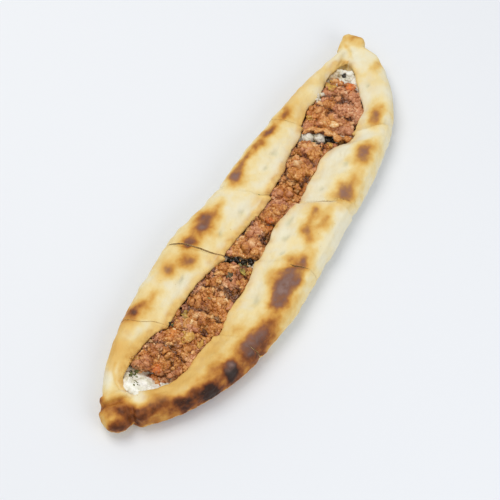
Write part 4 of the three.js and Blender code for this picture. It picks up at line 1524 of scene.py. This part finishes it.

# small bits: crumbled cheese, fried onions, chopped herbs and dark scraps, some of which stand in for the
# shade of a hole

bits = {
    "cheese_curds": {
        "slot": "cheese",
        "stretch": ((0.9, 1.4), (0.8, 1.1), (0.6, 0.9)),
        "steepest": 0.3,  # how far up the ground has to face
        "sink": 0.45,  # how deep a bit lies in it, as a share of its radius
        # x, y, spread, number, smallest and largest radius, stain
        "clusters": [
            (-160, 23, 3, 8, 1.0, 1.8, 0.1), (-167, 20, 2.6, 2, 1.6, 2.6, 0.0),
            (-168, 13, 2.6, 2, 1.8, 2.8, 0.0), (152, 20, 2.5, 9, 1.0, 2.0, 0.9),
            (157, 18, 2.4, 8, 1.2, 2.2, 0.8), (163, 10, 1.6, 4, 1.4, 2.6, 0.05),
            (160, 6, 1.8, 4, 1.2, 2.0, 0.1), (167, 14, 2.0, 6, 1.0, 1.8, 0.9),
        ],
    },
    "cheese_crumbs": {
        "slot": "cheese",
        "stretch": ((0.9, 1.4), (0.8, 1.1), (0.6, 0.9)),
        "steepest": 0.3,
        "sink": -0.45,
        "clusters": [
            (89.2, 9.6, 0.9, 5, 2.6, 3.6, 0.1), (90, 13, 1.0, 3, 1.6, 2.4, 0.15),
            (94.0, 2.0, 1.0, 5, 2.6, 3.6, 0.15), (131.5, 18.0, 1.3, 6, 1.0, 1.6, 0.45),
            (127, 18.6, 1.3, 5, 0.9, 1.5, 0.45), (122, 18.6, 1.0, 3, 0.8, 1.2, 0.5),
            (162.6, 8.2, 2.0, 7, 0.9, 1.9, 0.1), (160.6, 16, 1.8, 6, 0.8, 1.6, 0.2),
            (156.6, 8.4, 1.6, 5, 0.9, 1.6, 0.25),
        ],
    },
    "fried_onions": {
        "slot": "onion",
        "stretch": ((1.0, 1.8), (0.7, 1.0), (0.5, 0.8)),
        "steepest": 0.3,
        "sink": -0.35,
        "clusters": [
            (-113, -8, 2.6, 12, 1.0, 2.0, 0), (-110, 7, 2.0, 6, 1.0, 1.8, 0),
            (-146, 28, 3.0, 12, 0.8, 1.6, 0), (143, 14.6, 2.6, 12, 1.0, 1.9, 0),
            (100.6, -15.4, 1.6, 7, 1.0, 1.8, 0), (88, -11, 2.0, 8, 0.9, 1.7, 0),
            (105, 16.5, 1.6, 7, 1.0, 1.7, 0), (-59, 4.5, 1.6, 4, 0.8, 1.4, 0),
            (-44, -10, 1.6, 6, 0.8, 1.6, 0), (150, 19, 2.0, 6, 0.8, 1.6, 0),
        ],
    },
    "herb_flecks": {
        "slot": "herb",
        "stretch": ((1.2, 2.2), (0.6, 1.0), (0.15, 0.25)),
        "steepest": 0.7,
        "sink": -0.1,
        "clusters": [
            (-161, 16, 4.0, 9, 0.4, 0.7, 0), (-157, 24, 2.6, 26, 0.5, 1.0, 0),
            (-152, 23, 1.8, 16, 0.5, 1.0, 0), (-38, 6, 3.0, 26, 0.8, 1.6, 0),
            (-37, -3, 3.0, 20, 0.7, 1.4, 0), (-53, -1, 3.0, 9, 0.4, 0.8, 0),
            (-78, 2, 2.0, 5, 0.4, 0.8, 0), (-10, -6, 1.6, 5, 0.4, 0.8, 0),
            (-109, 19, 1.6, 12, 0.5, 1.0, 0), (-112, 12, 3.0, 6, 0.4, 0.8, 0),
            (20, 16.5, 0.9, 7, 0.35, 0.7, 0), (10, 47, 1.2, 5, 0.35, 0.7, 0),
            (90.3, 4.7, 0.8, 12, 0.7, 1.4, 0), (166, 14, 2.0, 6, 0.4, 0.8, 0),
            (152, 20, 2.4, 6, 0.4, 0.8, 0), (132, 17.5, 1.6, 5, 0.4, 0.7, 0),
        ],
    },
    "dark_scraps": {
        "slot": "olive",
        "stretch": ((1.0, 1.5), (0.8, 1.1), (0.6, 0.9)),
        "steepest": 0.3,
        "sink": -0.1,
        "clusters": [
            (-38, 10, 1.6, 7, 1.4, 2.6, 0), (-37, 5, 1.8, 6, 1.4, 2.6, 0),
            (-34.5, 0, 1.8, 7, 1.4, 2.6, 0), (-31, -5, 1.6, 5, 1.2, 2.2, 0),
            # painted shade: these dark lumps fill the hole in the knife gap between the fourth and fifth
            # slices
            (96.5, -6.5, 2.0, 14, 1.4, 2.4, 0), (94, -9.5, 1.4, 5, 1.2, 2.0, 0),
            (158.4, 12.0, 1.2, 6, 0.8, 1.4, 0), (167, 13.6, 1.6, 6, 0.6, 1.1, 0),
            (-109.5, 20, 0.8, 3, 0.7, 1.1, 0),
        ],
    },
}

herbFinish = {
    "leaf": [(0.0, "34381a"), (0.5, "5c6130"), (1.0, "868850")],
    "roughness": 0.45,
}


def makeBits(name, setup, lumps, surfaces, draw):
    spots = []
    for x, y, spread, count, smallest, largest, stain in setup["clusters"]:
        for _ in range(count):
            place, normal = dropOn(surfaces, draw.gauss(x, 0.6 * spread), draw.gauss(y, 0.6 * spread))
            radius = draw.uniform(smallest, largest)
            stretch = [radius * draw.uniform(*span) for span in setup["stretch"]]
            turn = turned(draw, normal or Vector((0, 0, 1)), stretch, 0.35)
            tone = draw.random()
            if place is not None and normal.z > setup["steepest"]:
                values = {"tone": tone, "stain": stain * (0.6 + 0.6 * tone)}
                place -= np.array(normal) * setup["sink"] * radius
                spots.append((lumps[draw.randrange(len(lumps))], place, turn, values))
    return scattered(name, spots)


def makeHerbMaterial(finish):
    material, tree, shader, _ = newMaterial("choppedHerb")
    leaf = addRamp(tree, addAttribute(tree, "tone"), finish["leaf"])
    tree.links.new(leaf, shader.inputs["Base Color"])
    shader.inputs["Roughness"].default_value = finish["roughness"]
    return material


bitMaterials = {
    "cheese": cheeseMaterial,
    "onion": makeMottledMaterial("friedOnions", "a06c28", "dba950", fleshFinish),
    "herb": makeHerbMaterial(herbFinish),
    # near-black lumps: dark scraps, and in one knife gap painted shade
    "olive": makeMottledMaterial("darkScrapsAndHoleShade", "14110c", "3b3122", fleshFinish),
}
bitLumps = makeLumps(10, 0.6, 2, 5)
softLumps = makeLumps(10, 0.35, 3, 6)
fillingSurfaces = surfacesOf([*dough, *cheese.values(), *meat.values()])
for name, setup in bits.items():
    lumps = softLumps if setup["slot"] == "cheese" else bitLumps
    piece = makeBits(name, setup, lumps, fillingSurfaces, random.Random(len(name)))
    finishPiece(piece, setup["slot"], [bitMaterials[setup["slot"]]])
print("small bits are strewn")
